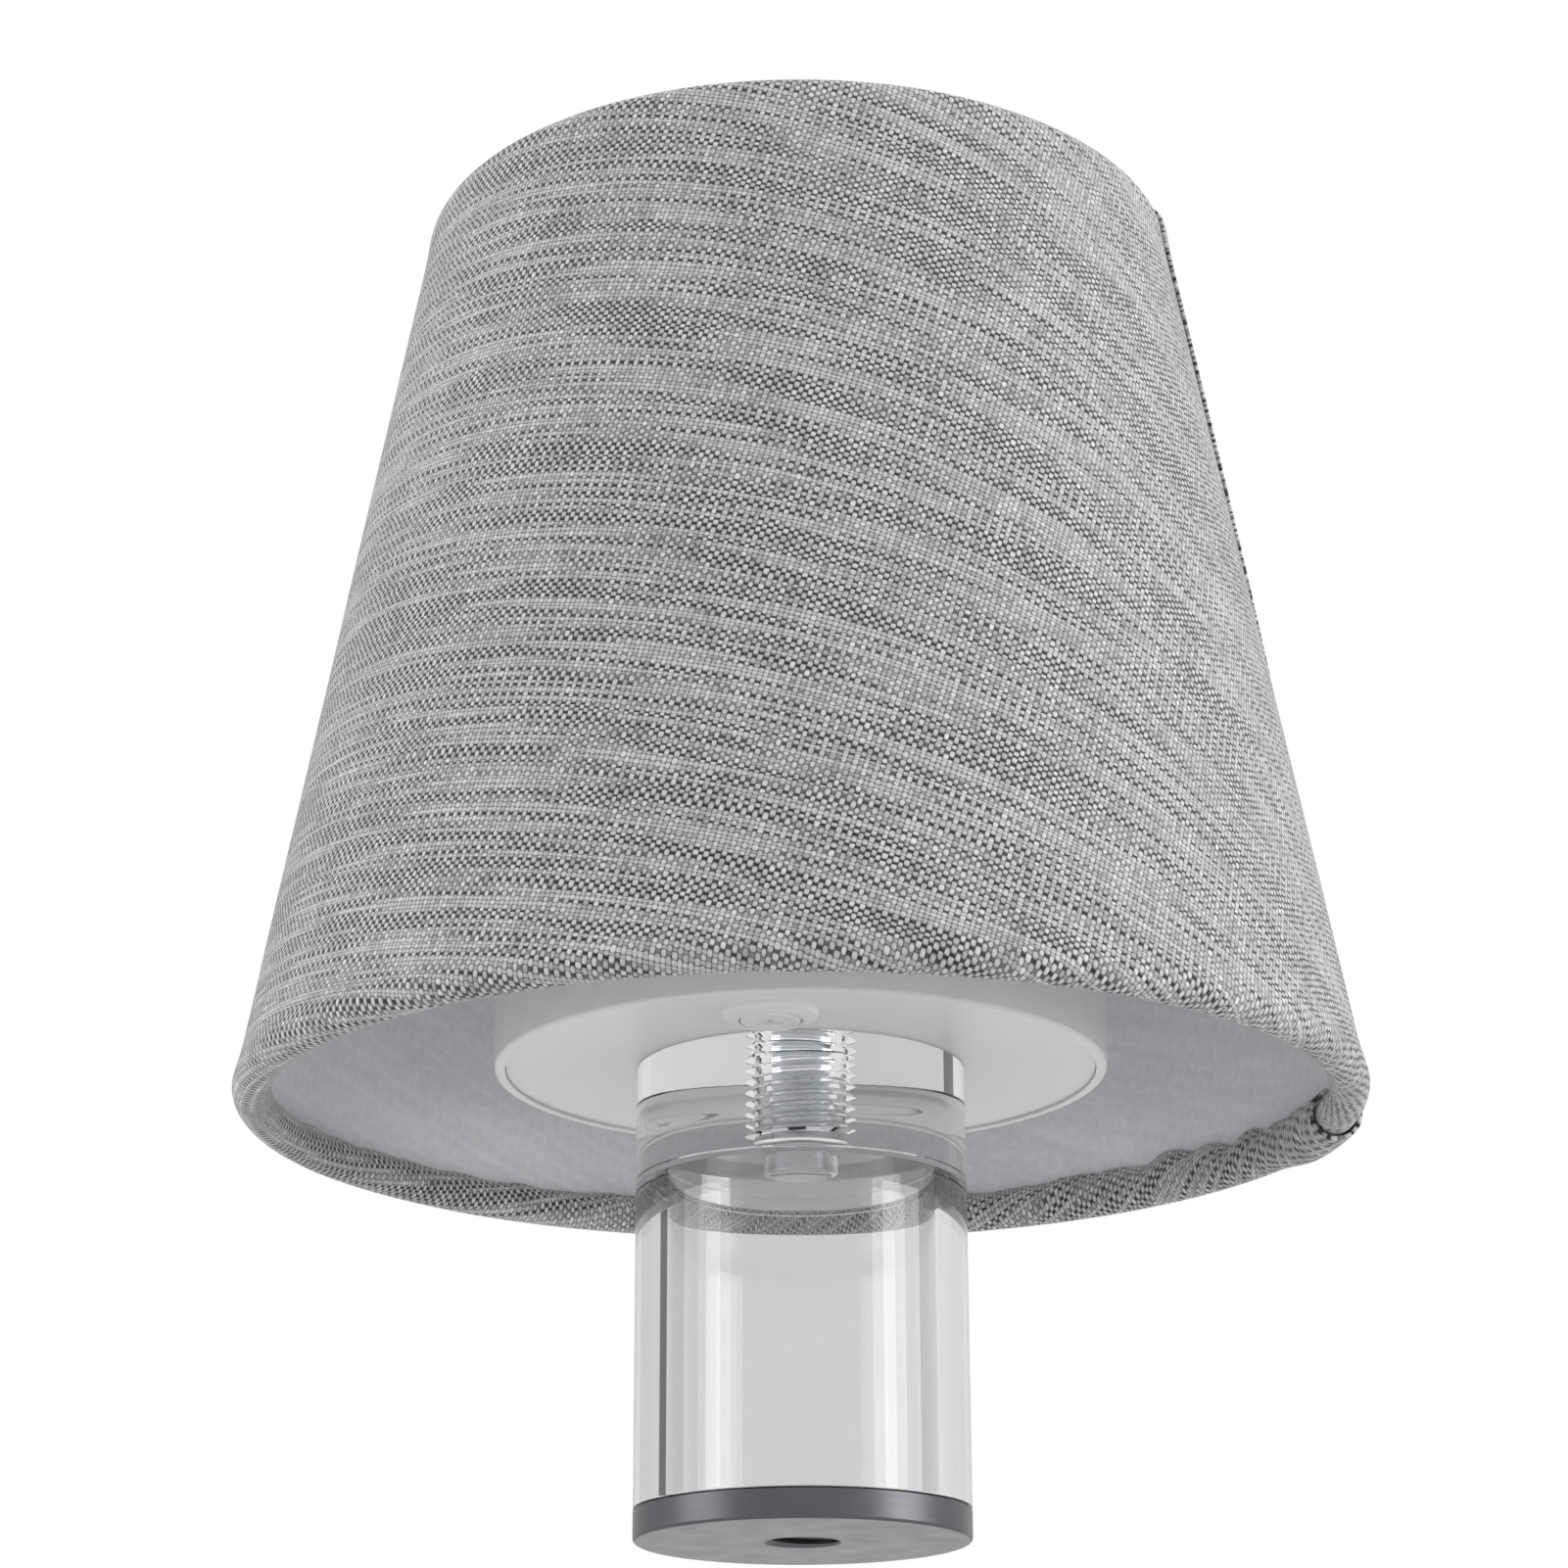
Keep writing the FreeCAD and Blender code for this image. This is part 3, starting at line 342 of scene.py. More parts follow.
@dataclass(frozen=True)
class Film(Finish):
    """The smooth lining that stiffens the shade, with long faint darker streaks in its colour that lie
    aslant.
    """

    tilt: float = 0.42
    row: float = 620.0
    run: float = 34.0
    sheen: float = 0.1
    shade_stops: tuple[float, float] = (0.38, 0.62)

    def dress(self, tree: Tree) -> None:
        """Feeds a satin surface with long faint streaks that lie aslant."""
        flat = tree.add("ShaderNodeSeparateXYZ")
        tree.links.new(tree.where.outputs["Object"], flat.inputs["Vector"])
        across = tree.sum("MULTIPLY_ADD", flat.outputs["X"], self.tilt, flat.outputs["Z"])
        place = tree.vector(tree.sum("MULTIPLY", flat.outputs["X"], self.run),
                            tree.sum("MULTIPLY", across, self.row),
                            tree.sum("MULTIPLY", flat.outputs["Y"], self.run))
        streaks = tree.noise(1.0, detail=3.0, vector=place)
        cloudy = tree.mix(0.5, streaks, tree.noise(self.grain))
        low = tuple(value * (1 - self.mottle) for value in self.colour)
        tree.set(base_color=tree.ramp(cloudy, list(zip(self.shade_stops, (low, self.colour)))))
        tree.set(roughness=self.roughness, sheen_weight=self.sheen)
        tree.emboss(streaks, self.depth)


@dataclass(frozen=True)
class Weave(Finish):
    """Plain woven cloth of an even light warp and a weft that changes between light and charcoal.

    The pitches are in metres, and heights and widths in threads. The cells say how fast a noise changes
    across and along the threads, with its seed. The stops say where along a factor each colour stands.
    """

    warp_pitch: float = 0.00069
    weft_pitch: float = 0.00056
    warp: Colour = (0.84, 0.84, 0.845)
    warp_shadow: float = 0.66
    warp_stops: tuple[float, float] = (0.35, 0.6)
    charcoal: Colour = (0.010, 0.010, 0.012)
    ash: Colour = (0.06, 0.06, 0.065)
    chalk: Colour = (0.72, 0.72, 0.73)
    weft_stops: tuple[float, ...] = (0.42, 0.47, 0.51, 0.60)
    slub_cells: Triple = (0.03, 0.22, 0.0)
    drift_cells: Triple = (0.5, 0.03, 9.0)
    yarn_cells: Triple = (0.024, 7.31, 3.0)
    end_cells: Triple = (5.77, 0.09, 5.0)
    wander: float = 1.2
    drift: float = 0.6
    uneven: float = 0.7
    rise: float = 0.42
    roundness: float = 0.5
    warp_lead: float = 0.06
    warp_half: float = 0.45
    drop: float = 3.0
    deepest: float = -0.2
    half_stops: Stops = ((0.44, grey(0.52)), (0.60, grey(0.76)))
    tint_stops: Stops = ((0.0, grey(0.76)), (1.0, grey(1.0)))
    # Painted shade: these stops darken the colour where the threads sink low, in the holes, and where two
    # threads meet at one height, along their borders.
    hole_shade_stops: Stops = ((0.0, (0.05, 0.05, 0.055)), (0.35, grey(0.45)), (0.7, grey(1.0)))
    edge_shade_stops: Stops = ((0.0, (0.10, 0.10, 0.105)), (0.10, grey(0.40)), (0.30, grey(1.0)))
    fuzz: float = 2600.0
    fuzz_stops: Stops = ((0.3, grey(0.78)), (0.62, grey(1.0)))
    sheen: float = 0.35
    relief: float = 0.8

    def round(self, tree: Tree, away: Feed, half: Feed) -> Socket:
        """The round of a thread's section; past the thread's edge it drops.

        Args:
            tree: The material under construction.
            away: Distance to the thread's middle.
            half: Half the thread's width.

        Returns:
            The socket, 1 at the thread's middle and 0 at its edge.
        """
        share = tree.sum("ABSOLUTE", tree.sum("DIVIDE", away, half))
        square = tree.sum("MULTIPLY", share, share)
        inside = tree.sum("SQRT", tree.sum("MAXIMUM", tree.sum("SUBTRACT", 1.0, square), 0.0))
        past = tree.sum("MAXIMUM", tree.sum("SUBTRACT", share, 1.0), 0.0)
        return tree.sum("MULTIPLY_ADD", past, -self.drop, inside)

    @staticmethod
    def patches(tree: Tree, across: Feed, along: Feed, cells: Triple,
                detail: float) -> Socket:
        """Noise that changes at its own pace across and along the threads.

        Args:
            tree: The material under construction.
            across: Place across the warp threads.
            along: Place across the weft threads.
            cells: How fast it changes with each, and its seed.
            detail: How many finer layers are added.

        Returns:
            The noise's socket.
        """
        pace, rows, seed = cells
        place = tree.vector(tree.sum("MULTIPLY", across, pace), tree.sum("MULTIPLY", along, rows), seed)
        return tree.noise(1.0, detail, place)

    def dress(self, tree: Tree) -> None:
        """Feeds the weave: which thread is on top, its round, its colour, and painted shade in the holes
        and along the threads' borders.
        """
        flat = tree.add("ShaderNodeSeparateXYZ")
        tree.links.new(tree.where.outputs["UV"], flat.inputs["Vector"])
        u = tree.sum("DIVIDE", flat.outputs["X"], self.warp_pitch)
        v = tree.sum("DIVIDE", flat.outputs["Y"], self.weft_pitch)
        slubs = self.patches(tree, u, v, self.slub_cells, 1.0)
        drift = self.patches(tree, u, v, self.drift_cells, 1.0)
        v = tree.sum("MULTIPLY_ADD", slubs, self.wander, v)
        u = tree.sum("MULTIPLY_ADD", drift, self.drift, u)
        nearest = tree.add("ShaderNodeTexVoronoi", voronoi_dimensions="1D", feature="F1")
        border = tree.add("ShaderNodeTexVoronoi", voronoi_dimensions="1D", feature="DISTANCE_TO_EDGE")
        for node in (nearest, border):
            tree.feed(node.inputs["W"], v)
            node.inputs["Scale"].default_value = 1.0
            node.inputs["Randomness"].default_value = self.uneven
        row = tree.sum("FLOOR", nearest.outputs["W"])
        beside_row = nearest.outputs["Distance"]
        to_border = border.outputs["Distance"]
        room = tree.sum("ADD", beside_row, to_border)
        end = tree.sum("FLOOR", u)
        beside_end = tree.sum("SUBTRACT", tree.sum("FRACT", u), 0.5)
        turn = tree.sum("FLOORED_MODULO", tree.sum("ADD", row, end), 2.0)
        side = tree.sum("MULTIPLY_ADD", turn, 2.0 * self.rise, -self.rise)
        over = tree.sum("SINE", tree.sum("MULTIPLY", tree.sum("DIVIDE", to_border, room), math.pi / 2))
        under = tree.sum("COSINE", tree.sum("MULTIPLY", beside_end, math.pi))
        yarn = self.patches(tree, u, row, self.yarn_cells, 2.0)
        weft_colours = (self.charcoal, self.ash, self.colour, self.chalk)
        weft = tree.ramp(yarn, list(zip(self.weft_stops, weft_colours)))
        half = tree.sum("MULTIPLY", room, tree.ramp(yarn, self.half_stops))
        warp_round = self.round(tree, beside_end, self.warp_half)
        warp_body = tree.sum("MULTIPLY_ADD", warp_round, self.roundness, self.warp_lead)
        warp_height = tree.sum("MULTIPLY_ADD", side, over, warp_body)
        weft_body = tree.sum("MULTIPLY", self.round(tree, beside_row, half), self.roundness)
        weft_height = tree.sum("MULTIPLY_ADD", tree.sum("MULTIPLY", side, -1.0), under, weft_body)
        height = tree.sum("MAXIMUM", tree.sum("MAXIMUM", warp_height, weft_height), self.deepest)
        on_top = tree.sum("GREATER_THAN", warp_height, weft_height)
        apart = tree.sum("ABSOLUTE", tree.sum("SUBTRACT", warp_height, weft_height))
        ends = self.patches(tree, end, v, self.end_cells, 2.0)
        shaded = tuple(value * self.warp_shadow for value in self.warp)
        warp = tree.ramp(ends, list(zip(self.warp_stops, (shaded, self.warp))))
        own = tree.add("ShaderNodeTexWhiteNoise", noise_dimensions="2D")
        tree.links.new(tree.vector(end, row), own.inputs["Vector"])
        tint = tree.ramp(own.outputs["Value"], self.tint_stops)
        threads = tree.mix(1.0, tree.mix(on_top, weft, warp), tint, "MULTIPLY")
        # Painted shade: the holes and the edges ramps darken the colour in the crevices between threads,
        # where shade falls.
        painted_hole_shade = tree.ramp(height, self.hole_shade_stops)
        edges = tree.ramp(apart, self.edge_shade_stops)
        painted_gap_shade = tree.mix(1.0, painted_hole_shade, edges, "MULTIPLY")
        fuzz = tree.ramp(tree.noise(self.fuzz), self.fuzz_stops)
        cloth = tree.mix(1.0, tree.mix(1.0, threads, painted_gap_shade, "MULTIPLY"), fuzz, "MULTIPLY")
        tree.set(base_color=cloth, roughness=self.roughness, sheen_weight=self.sheen)
        tree.emboss(height, self.depth, self.relief)


class Finishes:
    """The lamp's finishes."""

    # Its grey base colour darkens all that is seen through the column: painted shade that stands in for a
    # dimmer background behind it.
    ACRYLIC = Acrylic("polished_acrylic", (0.77, 0.77, 0.775), 0.01, grain=250.0)
    DARK = Metal("dark_nickel", (0.10, 0.10, 0.11), 0.32, depth=0.00001)
    ZINC = Metal("bright_zinc", (0.84, 0.87, 0.90), 0.34, 0.10, depth=0.00001)
    POWDER = Finish("white_powder_coat", (0.84, 0.84, 0.85), 0.38, 0.01, 1600.0, 0.00001)
    BUTTON = Finish("white_button_plastic", (0.82, 0.82, 0.83), 0.45, 0.02)
    CELL = Finish("cell_sleeve", (0.16, 0.30, 0.52), 0.3, 0.05, 300.0)
    INNER = Finish("inner_moulding", (0.10, 0.10, 0.11), 0.55)
    BOARD = Finish("board_white", (0.80, 0.81, 0.79), 0.35, 0.03)
    CHIP = Finish("chip_yellow", (0.88, 0.70, 0.22), 0.4, 0.08)
    OPAL = Opal("opal_tube", (0.90, 0.89, 0.86), 0.35, 0.02)
    SILICONE = Finish("silicone_washer", (0.80, 0.80, 0.80), 0.6, 0.04)
    ENAMEL = Finish("white_wire_enamel", (0.82, 0.82, 0.82), 0.35, 0.03, 1200.0)
    LINING = Film("smooth_lining", (0.84, 0.835, 0.865), 0.5, 0.12, depth=0.00002)
    CARD = Finish("dark_card", (0.10, 0.095, 0.10), 0.9, 0.2, 40.0, 0.0001)
    GREY = Finish("grey_card", (0.80, 0.80, 0.80), 0.9, 0.02, 40.0, 0.0001)
    PALE = Finish("pale_card", (0.94, 0.94, 0.94), 0.9, 0.02, 40.0, 0.0001)
    CLOTH = Weave("grey_melange_cloth", (0.42, 0.42, 0.43), 0.85, depth=0.00012)


class Outline:
    """A pen that draws half a section, in millimetres, and turns it about the lamp's axis."""

    def __init__(self, radius: float, height: float) -> None:
        """Puts the pen down.

        Args:
            radius: Distance from the axis.
            height: Height above the lamp's foot.
        """
        self.mesh = bmesh.new()
        self.first = self.mesh.verts.new((radius, 0.0, height))
        self.tip = self.first
        self.corners: list[tuple[bmesh.types.BMVert, float]] = []

    def to(self, radius: float, height: float, soft: float = 0.0) -> "Outline":
        """Draws on to a point.

        Args:
            radius: Distance from the axis.
            height: Height above the lamp's foot.
            soft: How far the corner there is rounded back, if it is.

        Returns:
            The outline itself.
        """
        self.tip = bmesh.ops.extrude_vert_indiv(self.mesh, verts=[self.tip])["verts"][0]
        self.tip.co = (radius, 0.0, height)
        if soft:
            self.corners.append((self.tip, soft))
        return self

    def bend(self, centre: Vector, degrees: float, steps: int) -> "Outline":
        """Draws on along an arc about a point of the section; positive turns from Z towards X."""
        made = bmesh.ops.spin(self.mesh, geom=[self.tip], cent=centre, axis=(0.0, 1.0, 0.0),
                              angle=math.radians(degrees), steps=steps)
        self.tip = [item for item in made["geom_last"] if isinstance(item, bmesh.types.BMVert)][0]
        return self

    def close(self) -> "Outline":
        """Joins the pen's place to where it started."""
        self.mesh.edges.new((self.tip, self.first))
        return self

    def rounded(self) -> None:
        """Rounds the corners that were marked soft."""
        for corner, size in self.corners:
            bmesh.ops.bevel(self.mesh, geom=[corner], offset=size, offset_type="OFFSET",
                            segments=CORNER_STEPS, profile=0.5, affect="VERTICES", material=-1)

    def turned(self, steps: int = 160) -> Mesh:
        """Turns the outline once round the axis.

        Args:
            steps: How many flats the round has.

        Returns:
            The closed mesh, in millimetres.
        """
        self.rounded()
        bmesh.ops.spin(self.mesh, geom=self.mesh.verts[:] + self.mesh.edges[:], cent=ORIGIN, axis=UPWARDS,
                       angle=math.tau, steps=steps, use_merge=True)
        bmesh.ops.remove_doubles(self.mesh, verts=self.mesh.verts[:], dist=MERGE)
        bmesh.ops.recalc_face_normals(self.mesh, faces=self.mesh.faces[:])
        return self.mesh


def threaded_rod(core: float, crest: float, pitch: float, low: float, high: float) -> Mesh:
    """A closed rod with a right-hand thread of pointed section.

    Args:
        core: Radius at the thread's root.
        crest: Radius at the thread's crest.
        pitch: Rise of one turn.
        low: Height of the lower end.
        high: Height of the upper end.

    Returns:
        The mesh, in millimetres.
    """
    start = low - SPARE_TURNS * pitch
    pen = Outline(core, start)
    for turn in range(math.ceil((high - low) / pitch) + 2 * SPARE_TURNS):
        level = start + turn * pitch
        pen.to(core, level + FLANK_START * pitch).to(crest, level + CREST_START * pitch)
        pen.to(crest, level + CREST_END * pitch).to(core, level + pitch)
    mesh = pen.mesh
    bmesh.ops.spin(mesh, geom=mesh.verts[:] + mesh.edges[:], cent=ORIGIN, axis=UPWARDS,
                   dvec=(0.0, 0.0, pitch / THREAD_STEPS), angle=math.tau, steps=THREAD_STEPS)
    bmesh.ops.remove_doubles(mesh, verts=mesh.verts[:], dist=MERGE)
    for level, way in ((low, -1.0), (high, 1.0)):
        bmesh.ops.bisect_plane(mesh, geom=mesh.verts[:] + mesh.edges[:] + mesh.faces[:], dist=MERGE,
                               plane_co=(0.0, 0.0, level), plane_no=(0.0, 0.0, way), clear_outer=True)
        rim = [edge for edge in mesh.edges if edge.is_boundary
               and all(abs(vert.co.z - level) < MERGE for vert in edge.verts)]
        bmesh.ops.holes_fill(mesh, edges=rim, sides=0)
    bmesh.ops.recalc_face_normals(mesh, faces=mesh.faces[:])
    return mesh


def stood(name: str, mesh: Mesh) -> bpy.types.Object:
    """Makes an object of a mesh, which is used up, and links it to the scene.

    Args:
        name: The object's name.
        mesh: Its mesh.

    Returns:
        The object.
    """
    data = bpy.data.meshes.new(name)
    mesh.to_mesh(data)
    mesh.free()
    made = bpy.data.objects.new(name, data)
    bpy.context.scene.collection.objects.link(made)
    return made


def carved(base: Mesh, tool: Mesh) -> Mesh:
    """The base with a tool's shape cut out of it.

    Args:
        base: The mesh that is kept.
        tool: The mesh that cuts. Both are used up.

    Returns:
        The new mesh.
    """
    shapes = [stood("carving", mesh) for mesh in (base, tool)]
    cutter = shapes[0].modifiers.new("cut", "BOOLEAN")
    cutter.operation = "DIFFERENCE"
    cutter.solver = "EXACT"
    cutter.object = shapes[1]
    ready = shapes[0].evaluated_get(bpy.context.evaluated_depsgraph_get())
    result = bmesh.new()
    result.from_mesh(ready.to_mesh())
    ready.to_mesh_clear()
    for shape in shapes:
        data = shape.data
        bpy.data.objects.remove(shape)
        bpy.data.meshes.remove(data)
    return result


def placed(mesh: Mesh, x: float, y: float, z: float = 0.0,
           turn: float = 0.0) -> Mesh:
    """Turns a mesh about Z by degrees and moves it, in millimetres."""
    spun = Matrix.Rotation(math.radians(turn), 3, "Z")
    bmesh.ops.rotate(mesh, verts=mesh.verts[:], cent=ORIGIN, matrix=spun)
    bmesh.ops.translate(mesh, verts=mesh.verts[:], vec=(x, y, z))
    return mesh


def joined(meshes: Sequence[Mesh]) -> Mesh:
    """One mesh that holds several; they are used up."""
    whole = bmesh.new()
    for mesh in meshes:
        data = bpy.data.meshes.new("joining")
        mesh.to_mesh(data)
        mesh.free()
        whole.from_mesh(data)
        bpy.data.meshes.remove(data)
    return whole


def piece(name: str, mesh: Mesh, finish: Finish, body: Body,
          stands_for: Sequence[str] = ()) -> bpy.types.Object:
    """Turns a mesh in millimetres into a finished piece of the lamp.

    Args:
        name: The piece's name.
        mesh: Its mesh, which is used up.
        finish: Its finish.
        body: What it rides on.
        stands_for: The CAD nodes that it replaces.

    Returns:
        The piece.
    """
    bmesh.ops.scale(mesh, verts=mesh.verts[:], vec=(MM, MM, MM))
    made = stood(name, mesh)
    data = made.data
    data.shade_smooth()
    data.set_sharp_from_angle(angle=SMOOTH_BELOW)
    data.materials.append(finish.material())
    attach(made, body.value)
    if stands_for:
        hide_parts(*stands_for)
    true_faces = made.modifiers.new("true_faces", "WEIGHTED_NORMAL")
    true_faces.keep_sharp = True
    log.info("%s: %d faces, rides on %s", name, len(data.polygons), body.value)
    return made


def dress(finish: Finish, *nodes: str) -> None:
    """Gives CAD nodes a finish.

    Args:
        finish: The finish.
        nodes: The nodes' names.
    """
    for node in nodes:
        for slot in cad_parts[node].material_slots:
            slot.material = finish.material()
        log.info("%s: finished in %s", node, finish.name)


@dataclass(frozen=True)
class StudioCamera:
    """The photograph's camera, looking up at the lamp from below its foot."""

    place: Triple = (-2.16, -521.88, -72.23)
    pitch: float = 18.84
    roll: float = -0.18
    focal_pixels: float = 4000.0
    frame_pixels: float = 1601.0
    sensor: float = 36.0
    nearest: float = 0.01

    def build(self) -> None:
        """Makes the camera and hands it to the scene."""
        data = bpy.data.cameras.new("studio_camera")
        data.sensor_width = self.sensor
        data.lens = self.focal_pixels / self.frame_pixels * self.sensor
        data.clip_start = self.nearest
        camera = bpy.data.objects.new("studio_camera", data)
        bpy.context.scene.collection.objects.link(camera)
        tilt = Matrix.Rotation(math.radians(90 + self.pitch), 4, "X")
        lean = Matrix.Rotation(math.radians(self.roll), 4, "Z")
        camera.matrix_world = Matrix.Translation(Vector(self.place) * MM) @ tilt @ lean
        bpy.context.scene.camera = camera
        bpy.context.scene.view_settings.view_transform = "Standard"


@dataclass(frozen=True)
class Softbox:
    """A soft light that faces the lamp's middle, by its azimuth from the camera's side, in degrees."""

    name: str
    azimuth: float
    distance: float
    height: float
    width: float
    length: float
    power: float
    aim: float = 0.1

    def build(self) -> None:
        """Makes the light."""
        data = bpy.data.lights.new(self.name, "AREA")
        data.shape = "RECTANGLE"
        data.size = self.width
        data.size_y = self.length
        data.energy = self.power
        lamp = bpy.data.objects.new(self.name, data)
        bpy.context.scene.collection.objects.link(lamp)
        turn = math.radians(self.azimuth)
        place = Vector((math.sin(turn) * self.distance, -math.cos(turn) * self.distance, self.height))
        lamp.location = place
        lamp.rotation_euler = (Vector((0.0, 0.0, self.aim)) - place).to_track_quat("-Z", "Y").to_euler()


@dataclass(frozen=True)
class Card:
    """An upright card, out of the camera's sight.

    Only what passes through clear faces meets it, and what glances off them where it is mirrored.
    """

    name: str
    finish: Finish
    azimuth: float
    distance: float
    width: float
    low: float
    high: float
    mirrored: bool = False

    def build(self) -> None:
        """Makes the card, facing the lamp."""
        mesh = bmesh.new()
        corners = [(-self.width / 2, self.low), (self.width / 2, self.low),
                   (self.width / 2, self.high), (-self.width / 2, self.high)]
        mesh.faces.new([mesh.verts.new((x, -self.distance, z)) for x, z in corners])
        card = stood(self.name, placed(mesh, 0.0, 0.0, turn=self.azimuth))
        card.data.materials.append(self.finish.material())
        card.visible_camera = False
        card.visible_diffuse = False
        card.visible_glossy = self.mirrored
        card.visible_shadow = False


@dataclass
class Studio:
    """Pale floor, white surroundings, two tall soft lights and the cards that the clear column shows."""

    ambient: float = 0.62
    floor_half: float = 3.0
    floor_drop: float = 0.0002
    floor_stops: Stops = ((0.3, grey(0.86)), (0.7, grey(0.88)))
    floor_clouds: float = 20.0
    floor_roughness: float = 0.9
    softboxes: tuple[Softbox, ...] = (
        Softbox("right_softbox", 72.0, 1.1, 0.3, 0.6, 1.3, 9.0),
        Softbox("left_softbox", -72.0, 1.1, 0.3, 0.6, 1.3, 5.5),
    )
    cards: tuple[Card, ...] = (
        Card("dark_card", Finishes.CARD, 232.5, 0.9, 0.155, -0.8, 0.8),
        Card("left_pale_card", Finishes.GREY, 213.0, 0.98, 0.8, -0.8, 0.29, mirrored=True),
        Card("right_pale_card", Finishes.PALE, 147.0, 0.98, 0.8, -0.8, 0.29, mirrored=True),
    )

    def surroundings(self) -> None:
        """White to the camera, to gloss and through the clear column, and a plain level as light."""
        world = bpy.data.worlds.new("studio_world")
        bpy.context.scene.world = world
        world.use_nodes = True
        nodes = world.node_tree.nodes
        links = world.node_tree.links
        nodes.clear()
        rays = nodes.new("ShaderNodeLightPath")
        seen = rays.outputs["Is Camera Ray"]
        for kind in ("Is Glossy Ray", "Is Transmission Ray"):
            either = nodes.new("ShaderNodeMath")
            either.operation = "MAXIMUM"
            links.new(seen, either.inputs[0])
            links.new(rays.outputs[kind], either.inputs[1])
            seen = either.outputs[0]
        strength = nodes.new("ShaderNodeMapRange")
        strength.inputs["To Min"].default_value = self.ambient
        strength.inputs["To Max"].default_value = 1.0
        links.new(seen, strength.inputs["Value"])
        background = nodes.new("ShaderNodeBackground")
        background.inputs["Color"].default_value = (1.0, 1.0, 1.0, 1.0)
        links.new(strength.outputs["Result"], background.inputs["Strength"])
        output = nodes.new("ShaderNodeOutputWorld")
        links.new(background.outputs[0], output.inputs["Surface"])

    def floor(self) -> None:
        """A pale floor under the lamp's foot that the low camera looks through from beneath."""
        mesh = bmesh.new()
        bmesh.ops.create_grid(mesh, x_segments=1, y_segments=1, size=self.floor_half)
        bmesh.ops.translate(mesh, verts=mesh.verts[:], vec=(0.0, 0.0, -self.floor_drop))
        floor = stood("studio_floor", mesh)
        tree = Tree("pale_floor")
        paint = tree.ramp(tree.noise(self.floor_clouds), self.floor_stops)
        tree.set(roughness=self.floor_roughness, base_color=paint)
        side = tree.add("ShaderNodeNewGeometry")
        gone = tree.add("ShaderNodeBsdfTransparent")
        either = tree.add("ShaderNodeMixShader")
        tree.links.new(side.outputs["Backfacing"], either.inputs[0])
        tree.links.new(tree.surface.outputs[0], either.inputs[1])
        tree.links.new(gone.outputs[0], either.inputs[2])
        output = [node for node in tree.nodes if node.type == "OUTPUT_MATERIAL"][0]
        tree.links.new(either.outputs[0], output.inputs["Surface"])
        floor.data.materials.append(tree.material)
        floor.visible_shadow = False
        floor.visible_diffuse = False
        floor.visible_transmission = False
        floor.visible_glossy = False

    def build(self) -> None:
        """Makes the studio."""
        self.surroundings()
        self.floor()
        for item in (*self.cards, *self.softboxes):
            item.build()


